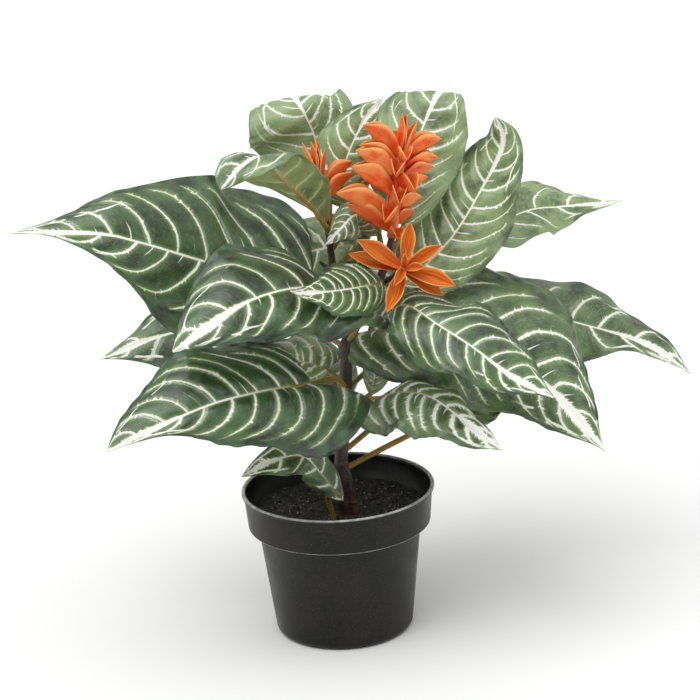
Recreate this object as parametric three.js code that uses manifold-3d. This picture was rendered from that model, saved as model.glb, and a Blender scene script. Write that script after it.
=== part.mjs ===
import * as THREE from 'three';
import { mergeVertices } from 'three/addons/utils/BufferGeometryUtils.js';
import Module from 'manifold-3d';

// Potted aphelandra, in millimetres: +Z up, the viewer on the -Y side,
// the origin at the centre of the pot's flat bottom.

// Pot
const POT_HEIGHT = 101;
const RIM_RADIUS = 65;
const RIM_LIP = 2.5;
const BAND_HEIGHT = 25;
const BAND_TOP_RADIUS = 63.6;
const BAND_BOTTOM_RADIUS = 61.6;
const BODY_TOP_RADIUS = 55;
const BODY_BOTTOM_RADIUS = 46.8;
const BOTTOM_ROUNDING = 5;
const POT_WALL = 1.6;
const POT_FLOOR = 2;
const POT_SIDES = 32;

// Soil
const SOIL_LEVEL = 82;
const SOIL_BACK_RISE = 2;
const SOIL_ROUGHNESS = 0.9;
const SOIL_RINGS = 3;

// Plant
const GAP = 0.3;
const BLADE_THICKNESS = 0.9;
const BLADE_ROWS = 11;
const BLADE_COLUMNS = 3;
const TIP_HALF_WIDTH = 0.7;
const BASE_FULLNESS = 0.6;
const LOBE_FADE = 6;
const PETIOLE_RADIUS = 1.9;
const PETIOLE_SIDES = 5;
const PETIOLE_STEPS = 5;
const STEM_SIDES = 8;
const STEM_FOOT = 40;
const BRACT_THICKNESS = 1.1;
const BRACT_CURL = 0.2;
const BRACT_ROOT = 1.5;
const BRACT_TAPER = 0.55;
const BRACT_TIP = 0.5;

const COLOURS = {
  pot: 0x1d1d1e,
  soil: 0x1b1613,
  stem: 0x3a2422,
  leaf: 0x2f6a3a,
  bloom: 0xf0562a,
};

const wasm = await Module();
wasm.setup();

const V = (x, y, z) => new THREE.Vector3(x, y, z);
const mix = (a, b, t) => a + (b - a) * t;

// Solids

function toManifold(geometry) {
  const plain = geometry.clone();
  plain.deleteAttribute('normal');
  plain.deleteAttribute('uv');
  const merged = mergeVertices(plain, 1e-4);
  return new wasm.Manifold(new wasm.Mesh({
    numProp: 3,
    vertProperties: new Float32Array(merged.attributes.position.array),
    triVerts: new Uint32Array(merged.index.array),
  }));
}

// The largest closed surface of a solid: crumbs and closed inner pockets are left out.
function toGeometry(manifold) {
  const whole = manifold.decompose().reduce((a, b) => (b.volume() > a.volume() ? b : a));
  const mesh = whole.getMesh();
  const geometry = new THREE.BufferGeometry();
  geometry.setAttribute('position', new THREE.BufferAttribute(new Float32Array(mesh.vertProperties), 3));
  geometry.setIndex(new THREE.BufferAttribute(new Uint32Array(mesh.triVerts), 1));
  geometry.computeVertexNormals();
  return geometry;
}

function indexed(points, triangles) {
  const geometry = new THREE.BufferGeometry();
  const numbers = points.flatMap((p) => [p.x, p.y, p.z]);
  geometry.setAttribute('position', new THREE.Float32BufferAttribute(numbers, 3));
  geometry.setIndex(triangles);
  geometry.computeVertexNormals();
  return geometry;
}

// A sheet of rows and columns of points, thickened along its own normals,
// with the same diagonals on both faces.
function thickSheet(rows, thickness) {
  const height = rows.length;
  const width = rows[0].length;
  const half = thickness / 2;
  const at = (i, j) => rows[Math.min(height - 1, Math.max(0, i))][Math.min(width - 1, Math.max(0, j))];
  const points = [];
  for (const side of [1, -1]) {
    for (let i = 0; i < height; i++) {
      for (let j = 0; j < width; j++) {
        const along = at(i + 1, j).clone().sub(at(i - 1, j));
        const across = at(i, j + 1).clone().sub(at(i, j - 1));
        const normal = across.cross(along).normalize();
        points.push(at(i, j).clone().addScaledVector(normal, side * half));
      }
    }
  }
  const lower = height * width;
  const triangles = [];
  const quad = (a, b, c, d) => triangles.push(a, b, c, a, c, d);
  for (let i = 0; i < height - 1; i++) {
    for (let j = 0; j < width - 1; j++) {
      const a = i * width + j;
      const b = a + 1;
      const c = a + width + 1;
      const d = a + width;
      if (j < (width - 1) / 2) {
        quad(a, b, c, d);
        quad(a + lower, d + lower, c + lower, b + lower);
      } else {
        quad(b, c, d, a);
        quad(d + lower, c + lower, b + lower, a + lower);
      }
    }
  }
  const rim = [];
  for (let j = 0; j < width; j++) rim.push(j);
  for (let i = 1; i < height; i++) rim.push(i * width + width - 1);
  for (let j = width - 2; j >= 0; j--) rim.push((height - 1) * width + j);
  for (let i = height - 2; i > 0; i--) rim.push(i * width);
  rim.forEach((a, k) => {
    const b = rim[(k + 1) % rim.length];
    quad(a, a + lower, b + lower, b);
  });
  return indexed(points, triangles);
}

// A round rod through the given points, its radius changing from point to point.
function taperedRod(path, radii, sides, steps) {
  const curve = new THREE.CatmullRomCurve3(path, false, 'catmullrom', 0.5);
  const points = [];
  let across = null;
  for (let i = 0; i <= steps; i++) {
    const t = i / steps;
    const place = t * (radii.length - 1);
    const k = Math.min(radii.length - 2, Math.floor(place));
    const radius = mix(radii[k], radii[k + 1], place - k);
    const tangent = curve.getTangent(t).normalize();
    if (across === null) across = Math.abs(tangent.z) > 0.9 ? V(1, 0, 0) : V(0, 0, 1);
    across.addScaledVector(tangent, -across.dot(tangent)).normalize();
    const other = tangent.clone().cross(across);
    const centre = curve.getPoint(t);
    for (let s = 0; s < sides; s++) {
      const angle = (2 * Math.PI * s) / sides;
      points.push(centre.clone()
        .addScaledVector(across, radius * Math.cos(angle))
        .addScaledVector(other, radius * Math.sin(angle)));
    }
  }
  const triangles = [];
  for (let i = 0; i < steps; i++) {
    for (let s = 0; s < sides; s++) {
      const a = i * sides + s;
      const b = i * sides + ((s + 1) % sides);
      triangles.push(a, b, b + sides, a, b + sides, a + sides);
    }
  }
  const last = steps * sides;
  for (let s = 1; s < sides - 1; s++) {
    triangles.push(0, s + 1, s);
    triangles.push(last, last + s, last + s + 1);
  }
  return indexed(points, triangles);
}

// Stem: the trunk forks into one branch for the spike and one for the cone,
// which itself gives off the stalk of the star bloom.
const STEM_PARTS = [
  { path: [V(5, -2, STEM_FOOT), V(4, -3, 80), V(3, -3, 116), V(6, -1, 140), V(9, 0, 172), V(11, 2, 202)],
    radii: [4.4, 5.0, 4.4, 4.2, 4.2, 4.0], steps: 8 },
  { path: [V(12, -5, STEM_FOOT), V(11, -5, 80), V(8, -4, 100), V(5, -3, 118)],
    radii: [3.4, 3.2, 3.4, 2.4], steps: 4 },
  { path: [V(10, 1, 188), V(11, 2, 203), V(8, 4, 229), V(5, 5, 249), V(3, 6, 275), V(1, 6, 286)],
    radii: [3.4, 3.2, 2.8, 2.6, 2.2, 1.8], steps: 8 },
  { path: [V(10, 1, 186), V(14, 2, 204), V(24, 3, 222), V(36, 3, 245), V(44, 2, 270), V(45, 2, 276)],
    radii: [3.6, 3.4, 3.0, 2.8, 2.4, 2.2], steps: 8 },
  { path: [V(28, 3, 230), V(34, -4, 240), V(42, -14, 248), V(48, -21, 254)],
    radii: [2.0, 1.9, 1.8, 1.6], steps: 4 },
  { path: [V(6, 5, 244), V(1, 3, 252), V(-4, 2, 257)],
    radii: [1.6, 1.4, 1.0], steps: 3 },
];

// A rod grown all round, at its ends too, for cutting its seat in a neighbour.
function grownRod(path, radii, sides, steps, growth) {
  const longer = path.map((p) => p.clone());
  const last = path.length - 1;
  longer[0].addScaledVector(path[0].clone().sub(path[1]).normalize(), growth);
  longer[last].addScaledVector(path[last].clone().sub(path[last - 1]).normalize(), growth);
  return toManifold(taperedRod(longer, radii.map((r) => r + growth), sides, steps));
}

function stemSolid(growth) {
  return STEM_PARTS
    .map((part) => grownRod(part.path, part.radii, STEM_SIDES, part.steps, growth))
    .reduce((whole, branch) => whole.add(branch));
}

// Leaves. spine: the midrib from the blade's base to its tip. Pairs are left and
// right as seen from above, looking along the midrib. half: the greatest half
// widths. widest: how far along they come. point: how slim the end runs out.
// face: the way the upper side looks at the base, the middle and the tip.
// fold: how far the halves are lifted, in degrees. droop: how far they bend down
// again towards the margin. wave: the margin's height, number of waves and phase.
// base: how full the blade's base is, less for fuller, where it isn't the usual.
// lobe: how wide the blade's base starts beside its petiole, as a share of the half
// width. turn: how far that start is turned back, in degrees.
const LEAVES = {
  left_long: {
    stalk: [[8, 4, 228], [0, 7, 238]],
    spine: [
      [-9, 10, 245], [-42, -4, 255], [-72, -18, 265], [-114, -34, 285], [-144, -40, 295], [-199, -35, 297],
    ],
    half: [51, 64], widest: [0.35, 0.28], point: [2.2, 1.2],
    face: [[0, -0.7, 0.7], [0, -0.85, 0.5], [0, -0.7, 0.7]], fold: [4, 4], droop: 12, wave: [4, 3, 0.1],
    base: [0.6, 0.5], lobe: [0, 0.5], turn: [0, 8],
  },
  centre_left: {
    stalk: [[12, 1, 202], [19, -8, 214]],
    spine: [
      [29, -12, 224], [8, -32, 244], [-16, -56, 257], [-47, -82, 258], [-75, -98, 246], [-96, -104, 234],
    ],
    half: [38, 46], widest: [0.35, 0.52], point: [0.85, 0.9],
    face: [[0, -0.1, 1], [-0.2, -0.8, 0.55], [-0.3, -0.9, 0.4]], fold: [5, 5], droop: 15, wave: [6, 3, 0.3],
    base: [0.4, 0.6],
  },
  upper_left: {
    stalk: [[3, 6, 273], [3, 4, 278]],
    spine: [[2, 0, 281], [-11, -22, 305], [-23, -40, 324], [-35, -58, 343], [-49, -68, 339], [-61, -72, 327]],
    half: [27, 23], widest: [0.5, 0.7], point: [0.9, 0.5],
    face: [[-0.3, 0.6, 0.7], [-0.3, 0.3, 0.9], [-0.4, -0.8, 0.5]],
    fold: [5, 15], droop: 20, wave: [2, 2, 0.2],
    base: [1.3, 1.4],
  },
  top_left: {
    stalk: [[3, 6, 270], [4, 15, 282]],
    spine: [[5, 24, 292], [1, 34, 314], [-3, 38, 333], [-9, 34, 350], [-14, 42, 357], [-16, 60, 354]],
    half: [42, 32], widest: [0.6, 0.6], point: [0.8, 0.8],
    face: [[0, -0.95, 0.3], [0, -0.9, 0.4], [0, 0, 1]], fold: [5, 5], droop: 15, wave: [5, 2.5, 0.0],
  },
  top_mid: {
    stalk: [[4, 5, 262], [12, 10, 276]],
    spine: [[18, 14, 289], [15, 18, 313], [27, 22, 340], [43, 24, 359]],
    half: [24, 20], widest: [0.45, 0.4], point: [1.1, 1.2],
    face: [[-0.2, -0.9, 0.3], [-0.2, -0.9, 0.3], [-0.1, -0.9, 0.4]],
    fold: [5, 12], droop: 15, wave: [2, 3, 0.4],
  },
  top_right: {
    stalk: [[40, 2, 254], [46, 8, 262]],
    spine: [[53, 14, 275], [60, 34, 314], [71, 46, 338], [80, 56, 352], [85, 74, 350]],
    half: [36, 33], widest: [0.55, 0.5], point: [0.7, 0.8],
    face: [[0, -0.9, 0.4], [0, -0.85, 0.5], [0, 0, 1]], fold: [5, 5], droop: 15, wave: [4, 3, 0.6],
  },
  right_upright: {
    stalk: [[35, 3, 242], [43, 4, 238]],
    spine: [[51, 6, 237], [83, 22, 262], [105, 34, 291], [121, 40, 320], [117, 36, 340]],
    half: [34, 31], widest: [0.42, 0.42], point: [0.8, 0.9],
    face: [[-0.1, -0.9, 0.4], [-0.2, -0.9, 0.35], [-0.2, -0.9, 0.2]],
    fold: [3, 5], droop: 15, wave: [4, 3, 0.2],
  },
  right_back: {
    stalk: [[31, 3, 236], [60, 24, 246]],
    spine: [[91, 44, 255], [138, 84, 262], [163, 96, 261], [192, 106, 259], [208, 112, 259]],
    half: [32, 26], widest: [0.45, 0.4], point: [1.3, 1.4],
    face: [[0, -0.4, 0.9], [0, -0.5, 0.9], [0, -0.4, 0.9]], fold: [5, 5], droop: 10, wave: [3, 2.5, 0.3],
  },
  right_far: {
    stalk: [[12, 2, 200], [44, 34, 200]],
    spine: [[80, 60, 198], [133, 86, 190], [180, 100, 173], [222, 106, 155], [254, 106, 131]],
    half: [42, 38], widest: [0.4, 0.32], point: [0.9, 1.6],
    face: [[0, -0.5, 0.8], [0, -0.6, 0.8], [0.2, -0.6, 0.7]], fold: [5, 5], droop: 15, wave: [6, 3, 0.1],
  },
  right_big: {
    stalk: [[11, 1, 190], [17, 1, 201]],
    spine: [[26, 1, 208], [73, 0, 208], [112, -8, 193], [141, -16, 170], [177, -32, 127]],
    half: [66, 42], widest: [0.44, 0.45], point: [1.2, 1.2],
    face: [[0, -0.7, 0.8], [0.1, -0.7, 0.7], [0.5, -0.7, 0.5]], fold: [8, 0], droop: 20, wave: [6, 3, 0.2],
    base: [0.6, 0.4], lobe: [0, 0.4], turn: [0, 85],
  },
  centre_right: {
    stalk: [[23, 3, 220], [30, -4, 218]],
    spine: [[35, -14, 220], [50, -30, 234], [71, -50, 225], [92, -60, 212], [114, -68, 195], [140, -75, 181]],
    half: [38, 28], widest: [0.55, 0.42], point: [1.0, 1.2],
    face: [[0.1, -0.5, 0.8], [0.3, -0.7, 0.7], [0.3, -0.8, 0.6]], fold: [5, 5], droop: 20, wave: [5, 3, 0.4],
  },
  low_right: {
    stalk: [[8, 0, 160], [18, -4, 162]],
    spine: [[30, -10, 165], [46, -22, 172], [64, -38, 173], [84, -56, 162], [107, -70, 146]],
    half: [13, 31], widest: [0.5, 0.33], point: [1.0, 0.9],
    face: [[0.1, -0.6, 0.8], [0.2, -0.8, 0.6], [0.3, -0.8, 0.5]], fold: [5, 5], droop: 15, wave: [5, 3, 0.2],
    lobe: [0, 0.55], turn: [0, 50],
  },
  low_left: {
    stalk: [[9, 0, 170], [2, -20, 183]],
    spine: [[-13, -48, 190], [-46, -74, 195], [-83, -98, 194], [-140, -114, 175]],
    half: [52, 46], widest: [0.15, 0.45], point: [1.5, 0.8],
    face: [[0, -0.7, 0.7], [-0.1, -0.8, 0.6], [-0.2, -0.8, 0.6]],
    fold: [5, 8], droop: 20, wave: [6, 2.3, 0.1],
    base: [0.6, 0.3], lobe: [1.1, 0.7], turn: [76, 0],
  },
  left_back: {
    stalk: [[10, 1, 198], [-8, 18, 203]],
    spine: [[-28, 30, 202], [-70, 54, 200], [-115, 64, 193], [-159, 64, 178]],
    half: [28, 24], widest: [0.5, 0.45], point: [1.2, 1.1],
    face: [[0, -0.6, 0.8], [0, -0.7, 0.7], [0, -0.7, 0.7]], fold: [5, 5], droop: 10, wave: [5, 3, 0.2],
  },
  bottom_left: {
    stalk: [[-3, -8, 60], [-4, -14, 84], [-7, -18, 100]],
    spine: [[3, -26, 100], [-10, -26, 119], [-22, -32, 135], [-43, -40, 135], [-62, -46, 128]],
    half: [14, 14], widest: [0.5, 0.5], point: [0.9, 0.9],
    face: [[0.3, -0.7, 0.5], [0, -0.7, 0.7], [-0.2, -0.7, 0.7]], fold: [5, 5], droop: 10, wave: [2, 2, 0.0],
  },
  small_centre: {
    stalk: [[34, 3, 241], [36, -11, 244]],
    spine: [[36, -24, 248], [12, -52, 253], [-10, -76, 259], [-22, -84, 263]],
    half: [20, 20], widest: [0.4, 0.35], point: [1.2, 1.2],
    face: [[0, -0.8, 0.6], [-0.1, -0.8, 0.5], [-0.2, -0.8, 0.5]], fold: [5, 15], droop: 15, wave: [2, 3, 0.5],
  },
  small_low: {
    stalk: [[9, 0, 152], [17, 3, 157]],
    spine: [[25, 5, 162], [28, 5, 173], [30, 5, 186], [29, 6, 196]],
    half: [9, 11], widest: [0.55, 0.55], point: [0.8, 0.8],
    face: [[-0.3, -0.9, 0], [-0.3, -0.9, 0.1], [-0.2, -0.9, 0.2]],
    fold: [12, 12], droop: 5, wave: [1, 2, 0.3],
  },
  under_cone: {
    stalk: [[37, 3, 248], [37, 9, 260]],
    spine: [[37, 8, 272], [23, 3, 287], [11, -7, 281], [1, -12, 272]],
    half: [15, 13], widest: [0.45, 0.45], point: [0.9, 0.9],
    face: [[0, -0.95, 0.3], [-0.1, -0.9, 0.4], [-0.3, -0.8, 0.5]],
    fold: [-10, -10], droop: 20, wave: [2, 2, 0.2],
  },
  behind_trunk: {
    stalk: [[8, 0, 164], [4, 10, 172]],
    spine: [[-2, 16, 178], [-24, 26, 182], [-46, 36, 174], [-64, 44, 160]],
    half: [24, 30], widest: [0.45, 0.45], point: [1.1, 1.1],
    face: [[0, -0.7, 0.7], [0, -0.6, 0.8], [0, -0.5, 0.9]], fold: [5, 5], droop: 20, wave: [4, 3, 0.2],
    lobe: [0, 0.3], turn: [0, 20],
  },
  behind_stem: {
    stalk: [[5, 5, 250], [16, 15, 257]],
    spine: [[28, 23, 262], [-3, 33, 257], [-34, 42, 246], [-58, 46, 228]],
    half: [24, 24], widest: [0.45, 0.45], point: [1.1, 1.1],
    face: [[0, -0.9, 0.4], [0, -0.9, 0.4], [-0.2, -0.8, 0.5]], fold: [5, 5], droop: 15, wave: [3, 3, 0.5],
    lobe: [0.4, 0.6], turn: [20, 40],
  },
  low_back_right: {
    stalk: [[9, 0, 168], [22, 16, 174]],
    spine: [[32, 28, 180], [54, 56, 186], [80, 86, 176], [100, 112, 154]],
    half: [30, 30], widest: [0.45, 0.45], point: [1.1, 1.1],
    face: [[0, -0.2, 1], [0.2, 0.1, 1], [0.4, 0.4, 0.8]], fold: [8, 8], droop: 20, wave: [4, 3, 0.1],
  },
  back_left: {
    stalk: [[9, 5, 224], [2, 26, 226], [-12, 54, 246]],
    spine: [[-26, 63, 264], [-64, 72, 270], [-98, 76, 276], [-130, 86, 273]],
    half: [22, 18], widest: [0.45, 0.45], point: [1.1, 1.1],
    face: [[0, -0.3, 1], [0, -0.2, 1], [-0.2, -0.2, 1]], fold: [8, 8], droop: 20, wave: [4, 3, 0.2],
  },
  low_right_hidden: {
    stalk: [[3, -3, 112], [26, 2, 122], [46, 6, 130]],
    spine: [[52, 8, 133], [80, 16, 146], [108, 24, 150], [138, 30, 140]],
    half: [26, 22], widest: [0.45, 0.45], point: [1.1, 1.1],
    face: [[0, -0.3, 1], [0.1, -0.3, 1], [0.3, -0.3, 0.9]], fold: [5, 5], droop: 15, wave: [3, 3, 0.1],
  },
};

const BACK_LEAVES = {
  back_low: {
    stalk: [[5, -2, 134], [2, 20, 142]],
    spine: [[0, 34, 148], [-12, 68, 160], [-26, 104, 158], [-38, 142, 138]],
    half: [34, 34], widest: [0.45, 0.45], point: [1.1, 1.1],
    face: [[0, -0.2, 1], [0, 0.1, 1], [0, 0.5, 0.9]], fold: [8, 8], droop: 20, wave: [4, 3, 0.2],
  },
  back_mid: {
    stalk: [[11, 2, 208], [22, 24, 216]],
    spine: [[30, 36, 220], [50, 72, 228], [68, 108, 222], [84, 144, 200]],
    half: [38, 38], widest: [0.45, 0.45], point: [1.1, 1.1],
    face: [[0, -0.2, 1], [0, 0.1, 1], [0.1, 0.5, 0.9]], fold: [8, 8], droop: 20, wave: [4, 3, 0.4],
  },
  back_right_low: {
    stalk: [[3, -3, 124], [24, 16, 134]],
    spine: [[36, 28, 140], [66, 54, 146], [98, 78, 140], [128, 98, 118]],
    half: [30, 30], widest: [0.45, 0.45], point: [1.1, 1.1],
    face: [[0, -0.2, 1], [0.1, 0.1, 1], [0.4, 0.3, 0.8]], fold: [8, 8], droop: 20, wave: [3, 3, 0.6],
  },
};

function outline(leaf, h, t) {
  const warped = Math.pow(t, Math.log(0.5) / Math.log(leaf.widest[h]));
  const swell = Math.max(0, Math.sin(Math.PI * warped));
  if (warped > 0.5) return leaf.half[h] * Math.pow(swell, leaf.point[h]);
  const base = leaf.base ? leaf.base[h] : BASE_FULLNESS;
  const start = leaf.lobe ? leaf.lobe[h] : 0;
  return leaf.half[h] * mix(start, 1, Math.pow(swell, base));
}

function leafFrame(leaf, t) {
  if (!leaf.curve) {
    const midrib = leaf.spine.map((p) => V(...p));
    leaf.curve = new THREE.CatmullRomCurve3(midrib, false, 'catmullrom', 0.5);
  }
  const point = leaf.curve.getPointAt(t);
  const tangent = leaf.curve.getTangentAt(t);
  const k = t < 0.5 ? 0 : 1;
  const facing = V(...leaf.face[k]).normalize().lerp(V(...leaf.face[k + 1]).normalize(), 2 * t - k);
  const side = tangent.clone().cross(facing).normalize();
  const normal = side.clone().cross(tangent).normalize();
  return { point, tangent, side, normal };
}

function bladePoint(leaf, t, u) {
  const { point, tangent, side, normal } = leafFrame(leaf, t);
  const h = u > 0 ? 1 : 0;
  const out = Math.abs(u);
  const width = Math.max(TIP_HALF_WIDTH, outline(leaf, h, t)) * out;
  const lift = THREE.MathUtils.degToRad(leaf.fold[h] - leaf.droop * out);
  const turn = leaf.lobe ? THREE.MathUtils.degToRad(leaf.turn[h]) * (1 - t) ** LOBE_FADE : 0;
  const across = width * Math.cos(lift);
  const [height, count, phase] = leaf.wave;
  const shift = phase + 0.37 * (1 - h);
  const wave = height * out * out * Math.sin(2 * Math.PI * (count * t + shift)) * Math.sin(Math.PI * t);
  return point
    .addScaledVector(tangent, -across * Math.sin(turn))
    .addScaledVector(side, Math.sign(u) * across * Math.cos(turn))
    .addScaledVector(normal, width * Math.sin(lift) + wave);
}

function leafSolid(leaf, grownStem) {
  const rows = [];
  for (let i = 0; i <= BLADE_ROWS; i++) {
    const row = [];
    for (let j = -BLADE_COLUMNS + 1; j < BLADE_COLUMNS; j++) {
      row.push(bladePoint(leaf, i / BLADE_ROWS, j / (BLADE_COLUMNS - 1)));
    }
    rows.push(row);
  }
  const blade = toManifold(thickSheet(rows, BLADE_THICKNESS));
  return blade.add(petioleSolid(leaf, 0)).subtract(grownStem);
}

// The petiole runs from its foot to the blade and a little way on under the midrib.
function petioleSolid(leaf, growth) {
  const near = leafFrame(leaf, 0.03);
  const further = leafFrame(leaf, 0.14);
  const stalk = [
    ...leaf.stalk.map((p) => V(...p)),
    near.point.addScaledVector(near.normal, -PETIOLE_RADIUS * 0.7),
    further.point.addScaledVector(further.normal, -PETIOLE_RADIUS * 0.6),
  ];
  const radii = [PETIOLE_RADIUS, PETIOLE_RADIUS, 0.6 * PETIOLE_RADIUS];
  return grownRod(stalk, radii, PETIOLE_SIDES, PETIOLE_STEPS, growth);
}

// A pointed, boat-shaped bract.
function bract(root, direction, facing, length, half, depth) {
  const along = direction.clone().normalize();
  const side = along.clone().cross(facing).normalize();
  const normal = side.clone().cross(along).normalize();
  const rows = [0, 0.35, 0.7, 1].map((t) => {
    const taper = Math.sin((Math.PI / 2) * Math.min(1, (1 - t) / BRACT_TAPER));
    const swell = (0.3 + 1.9 * t - 1.2 * t * t) * taper;
    return [-1, 0, 1].map((u) => root.clone()
      .addScaledVector(along, length * t)
      .addScaledVector(side, u * Math.max(BRACT_TIP, half * swell))
      .addScaledVector(normal, BRACT_CURL * length * t * t + Math.abs(u) * depth * swell));
  });
  return toManifold(thickSheet(rows, BRACT_THICKNESS));
}

// The direction at a turn about the spindle (0 right, 90 away, 180 left), raised along it.
function ray(along, turn, rise) {
  const across = V(1, 0, 0).addScaledVector(along, -along.x).normalize();
  const away = along.clone().cross(across);
  return across.multiplyScalar(Math.cos(turn) * Math.cos(rise))
    .addScaledVector(away, Math.sin(turn) * Math.cos(rise))
    .addScaledVector(along, Math.sin(rise));
}

// Blooms: bracts rooted well inside a short spindle. Each row gives how far up the
// spindle the bract is rooted, its turn, its rise, its length, its half width and
// how far its sides are folded up.
const BLOOMS = {
  cone: {
    foot: V(44, 2, 271), top: V(52, 0, 325), core: [3.2, 4.2, 3.0],
    bracts: [
      [0.06, 196, 19, 36, 4.5, 12], [0.26, 200, 10, 43, 5, 15], [0.50, 198, 21, 37, 5, 15],
      [0.70, 204, 23, 37, 5, 14], [0.84, 196, 19, 31, 5, 12], [0.98, 200, 28, 34, 5, 13],
      [0.14, 14, 29, 16, 4, 9], [0.32, 8, 24, 19, 4, 10], [0.50, 14, 26, 23, 4.5, 11],
      [0.68, 10, 17, 24, 4.5, 11], [0.82, 16, 9, 26, 4.5, 11], [0.98, 12, 18, 28, 5, 12],
      [0.06, 280, -8, 18, 4.5, 9], [0.28, 255, -6, 26, 5, 12], [0.50, 272, -4, 26, 5, 13],
      [0.66, 292, -4, 26, 5, 13], [0.80, 262, 1, 25, 5, 12], [0.95, 278, 7, 22, 5, 11],
      [0.18, 102, 30, 20, 4, 9], [0.42, 100, 30, 22, 4, 10], [0.60, 108, 25, 25, 4.5, 11],
      [0.76, 98, 19, 28, 4.5, 12], [0.92, 104, 23, 26, 4.5, 12],
      [1.00, 190, 78, 28, 5, 4], [1.00, 30, 79, 28, 5.5, 4], [1.00, 10, 62, 25, 5, 4],
    ],
  },
  spike: {
    foot: V(1, 6, 283), top: V(-1, 5, 313), core: [2.6, 3.0, 2.2],
    bracts: [
      [0.20, 330, 58, 16, 2.5, 5], [0.45, 2, 28, 26, 3.5, 10], [0.72, 6, 25, 26, 3.5, 10],
      [0.60, 182, 32, 22, 3, 8], [0.45, 95, 36, 20, 3, 7], [0.62, 270, 40, 16, 3, 7],
      [0.95, 185, 64, 26, 5.5, 3.5], [1.00, 170, 84, 27, 6, 3], [1.00, 30, 81, 23, 6, 3],
      [0.95, 355, 66, 20, 5.5, 3], [1.00, 200, 76, 24, 5.5, 3],
    ],
  },
  star: {
    foot: V(49.6, -20.6, 254), top: V(50.2, -25.3, 256.8), core: [3.0, 3.2],
    bracts: [
      [0.7, 80, 6, 29, 5, 7], [0.7, 149, 4, 34, 6, 8], [0.4, 163, -6, 35, 5.5, 6],
      [0.7, 246, 8, 34, 5.5, 8], [0.7, 336, 4, 34, 6, 8], [0.4, 323, -4, 29, 5.5, 5],
      [0.7, 27, 14, 28, 4.5, 7], [1.0, 240, 30, 21, 3.5, 7], [1.0, 350, 34, 15, 3, 4],
      [1.0, 90, 50, 12, 2.5, 3],
    ],
  },
};

function bloomSolid({ foot, top, core, bracts }) {
  const along = top.clone().sub(foot).normalize();
  const spindle = core.map((radius, k) => foot.clone().lerp(top, k / (core.length - 1)));
  let bloom = toManifold(taperedRod(spindle, core, 6, core.length));
  for (const [share, turn, rise, length, half, depth] of bracts) {
    const [angle, lift] = [turn, rise].map(THREE.MathUtils.degToRad);
    const root = foot.clone().lerp(top, share).addScaledVector(ray(along, angle, 0), BRACT_ROOT);
    const inward = ray(along, angle, lift + Math.PI / 2);
    bloom = bloom.add(bract(root, ray(along, angle, lift), inward, length, half, depth));
  }
  return bloom;
}

// Pot and soil
const STEP = POT_HEIGHT - BAND_HEIGHT;
const INNER_FOOT = BODY_BOTTOM_RADIUS - BOTTOM_ROUNDING;
const INNER_LOW = BODY_BOTTOM_RADIUS - POT_WALL;
const INNER_HIGH = BODY_TOP_RADIUS - POT_WALL;
const INNER_BAND = BAND_BOTTOM_RADIUS - POT_WALL;

function potProfile() {
  const round = BOTTOM_ROUNDING;
  return [
    [0, 0],
    [BODY_BOTTOM_RADIUS - round, 0],
    [BODY_BOTTOM_RADIUS - 0.3 * round, 0.3 * round],
    [BODY_BOTTOM_RADIUS, round],
    [BODY_TOP_RADIUS, STEP - 1],
    [BAND_BOTTOM_RADIUS - 0.8, STEP - 0.6],
    [BAND_BOTTOM_RADIUS, STEP + 0.6],
    [BAND_TOP_RADIUS, POT_HEIGHT - RIM_LIP],
    [RIM_RADIUS, POT_HEIGHT - RIM_LIP + 0.5],
    [RIM_RADIUS - 0.2, POT_HEIGHT - 0.4],
    [RIM_RADIUS - 1.2, POT_HEIGHT],
    [RIM_RADIUS - 2.4, POT_HEIGHT - 0.3],
    [BAND_TOP_RADIUS - POT_WALL, POT_HEIGHT - RIM_LIP],
    [INNER_BAND, STEP + 1.4],
    [INNER_HIGH, STEP + 0.6],
    [INNER_LOW, round],
    [INNER_FOOT, POT_FLOOR],
    [0, POT_FLOOR],
  ];
}

function soilHeight(x, y) {
  const grain = Math.sin(0.31 * x + 1.3) * Math.cos(0.27 * y + 0.4) + 0.6 * Math.sin(0.12 * x - 0.19 * y);
  return SOIL_LEVEL + SOIL_BACK_RISE * (y / RIM_RADIUS) + SOIL_ROUGHNESS * grain;
}

// The soil's rings from its middle outwards and down the pot's wall.
function soilRings() {
  const rings = [];
  for (let k = 1; k <= SOIL_RINGS; k++) rings.push([((INNER_BAND - GAP) * k) / SOIL_RINGS, null]);
  rings.push([INNER_BAND - GAP, STEP + 1.4 + GAP]);
  rings.push([INNER_HIGH - GAP, STEP + 0.6 + GAP]);
  rings.push([INNER_LOW - GAP, BOTTOM_ROUNDING]);
  rings.push([INNER_FOOT - GAP, POT_FLOOR + GAP]);
  return rings;
}

function soilSolid(holes) {
  const rings = soilRings();
  const points = [V(0, 0, soilHeight(0, 0))];
  for (const [radius, level] of rings) {
    for (let s = 0; s < POT_SIDES; s++) {
      const x = radius * Math.cos((2 * Math.PI * s) / POT_SIDES);
      const y = radius * Math.sin((2 * Math.PI * s) / POT_SIDES);
      points.push(V(x, y, level === null ? soilHeight(x, y) : level));
    }
  }
  const bottom = points.length;
  points.push(V(0, 0, POT_FLOOR + GAP));
  const at = (ring, s) => 1 + ring * POT_SIDES + (s % POT_SIDES);
  const triangles = [];
  for (let s = 0; s < POT_SIDES; s++) {
    triangles.push(0, at(0, s), at(0, s + 1));
    for (let k = 0; k < rings.length - 1; k++) {
      triangles.push(at(k, s), at(k + 1, s), at(k + 1, s + 1));
      triangles.push(at(k, s), at(k + 1, s + 1), at(k, s + 1));
    }
    triangles.push(bottom, at(rings.length - 1, s + 1), at(rings.length - 1, s));
  }
  return holes.reduce((body, hole) => body.subtract(hole), toManifold(indexed(points, triangles)));
}

// Assembly
const group = new THREE.Group();
group.name = 'potted_aphelandra';

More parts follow.
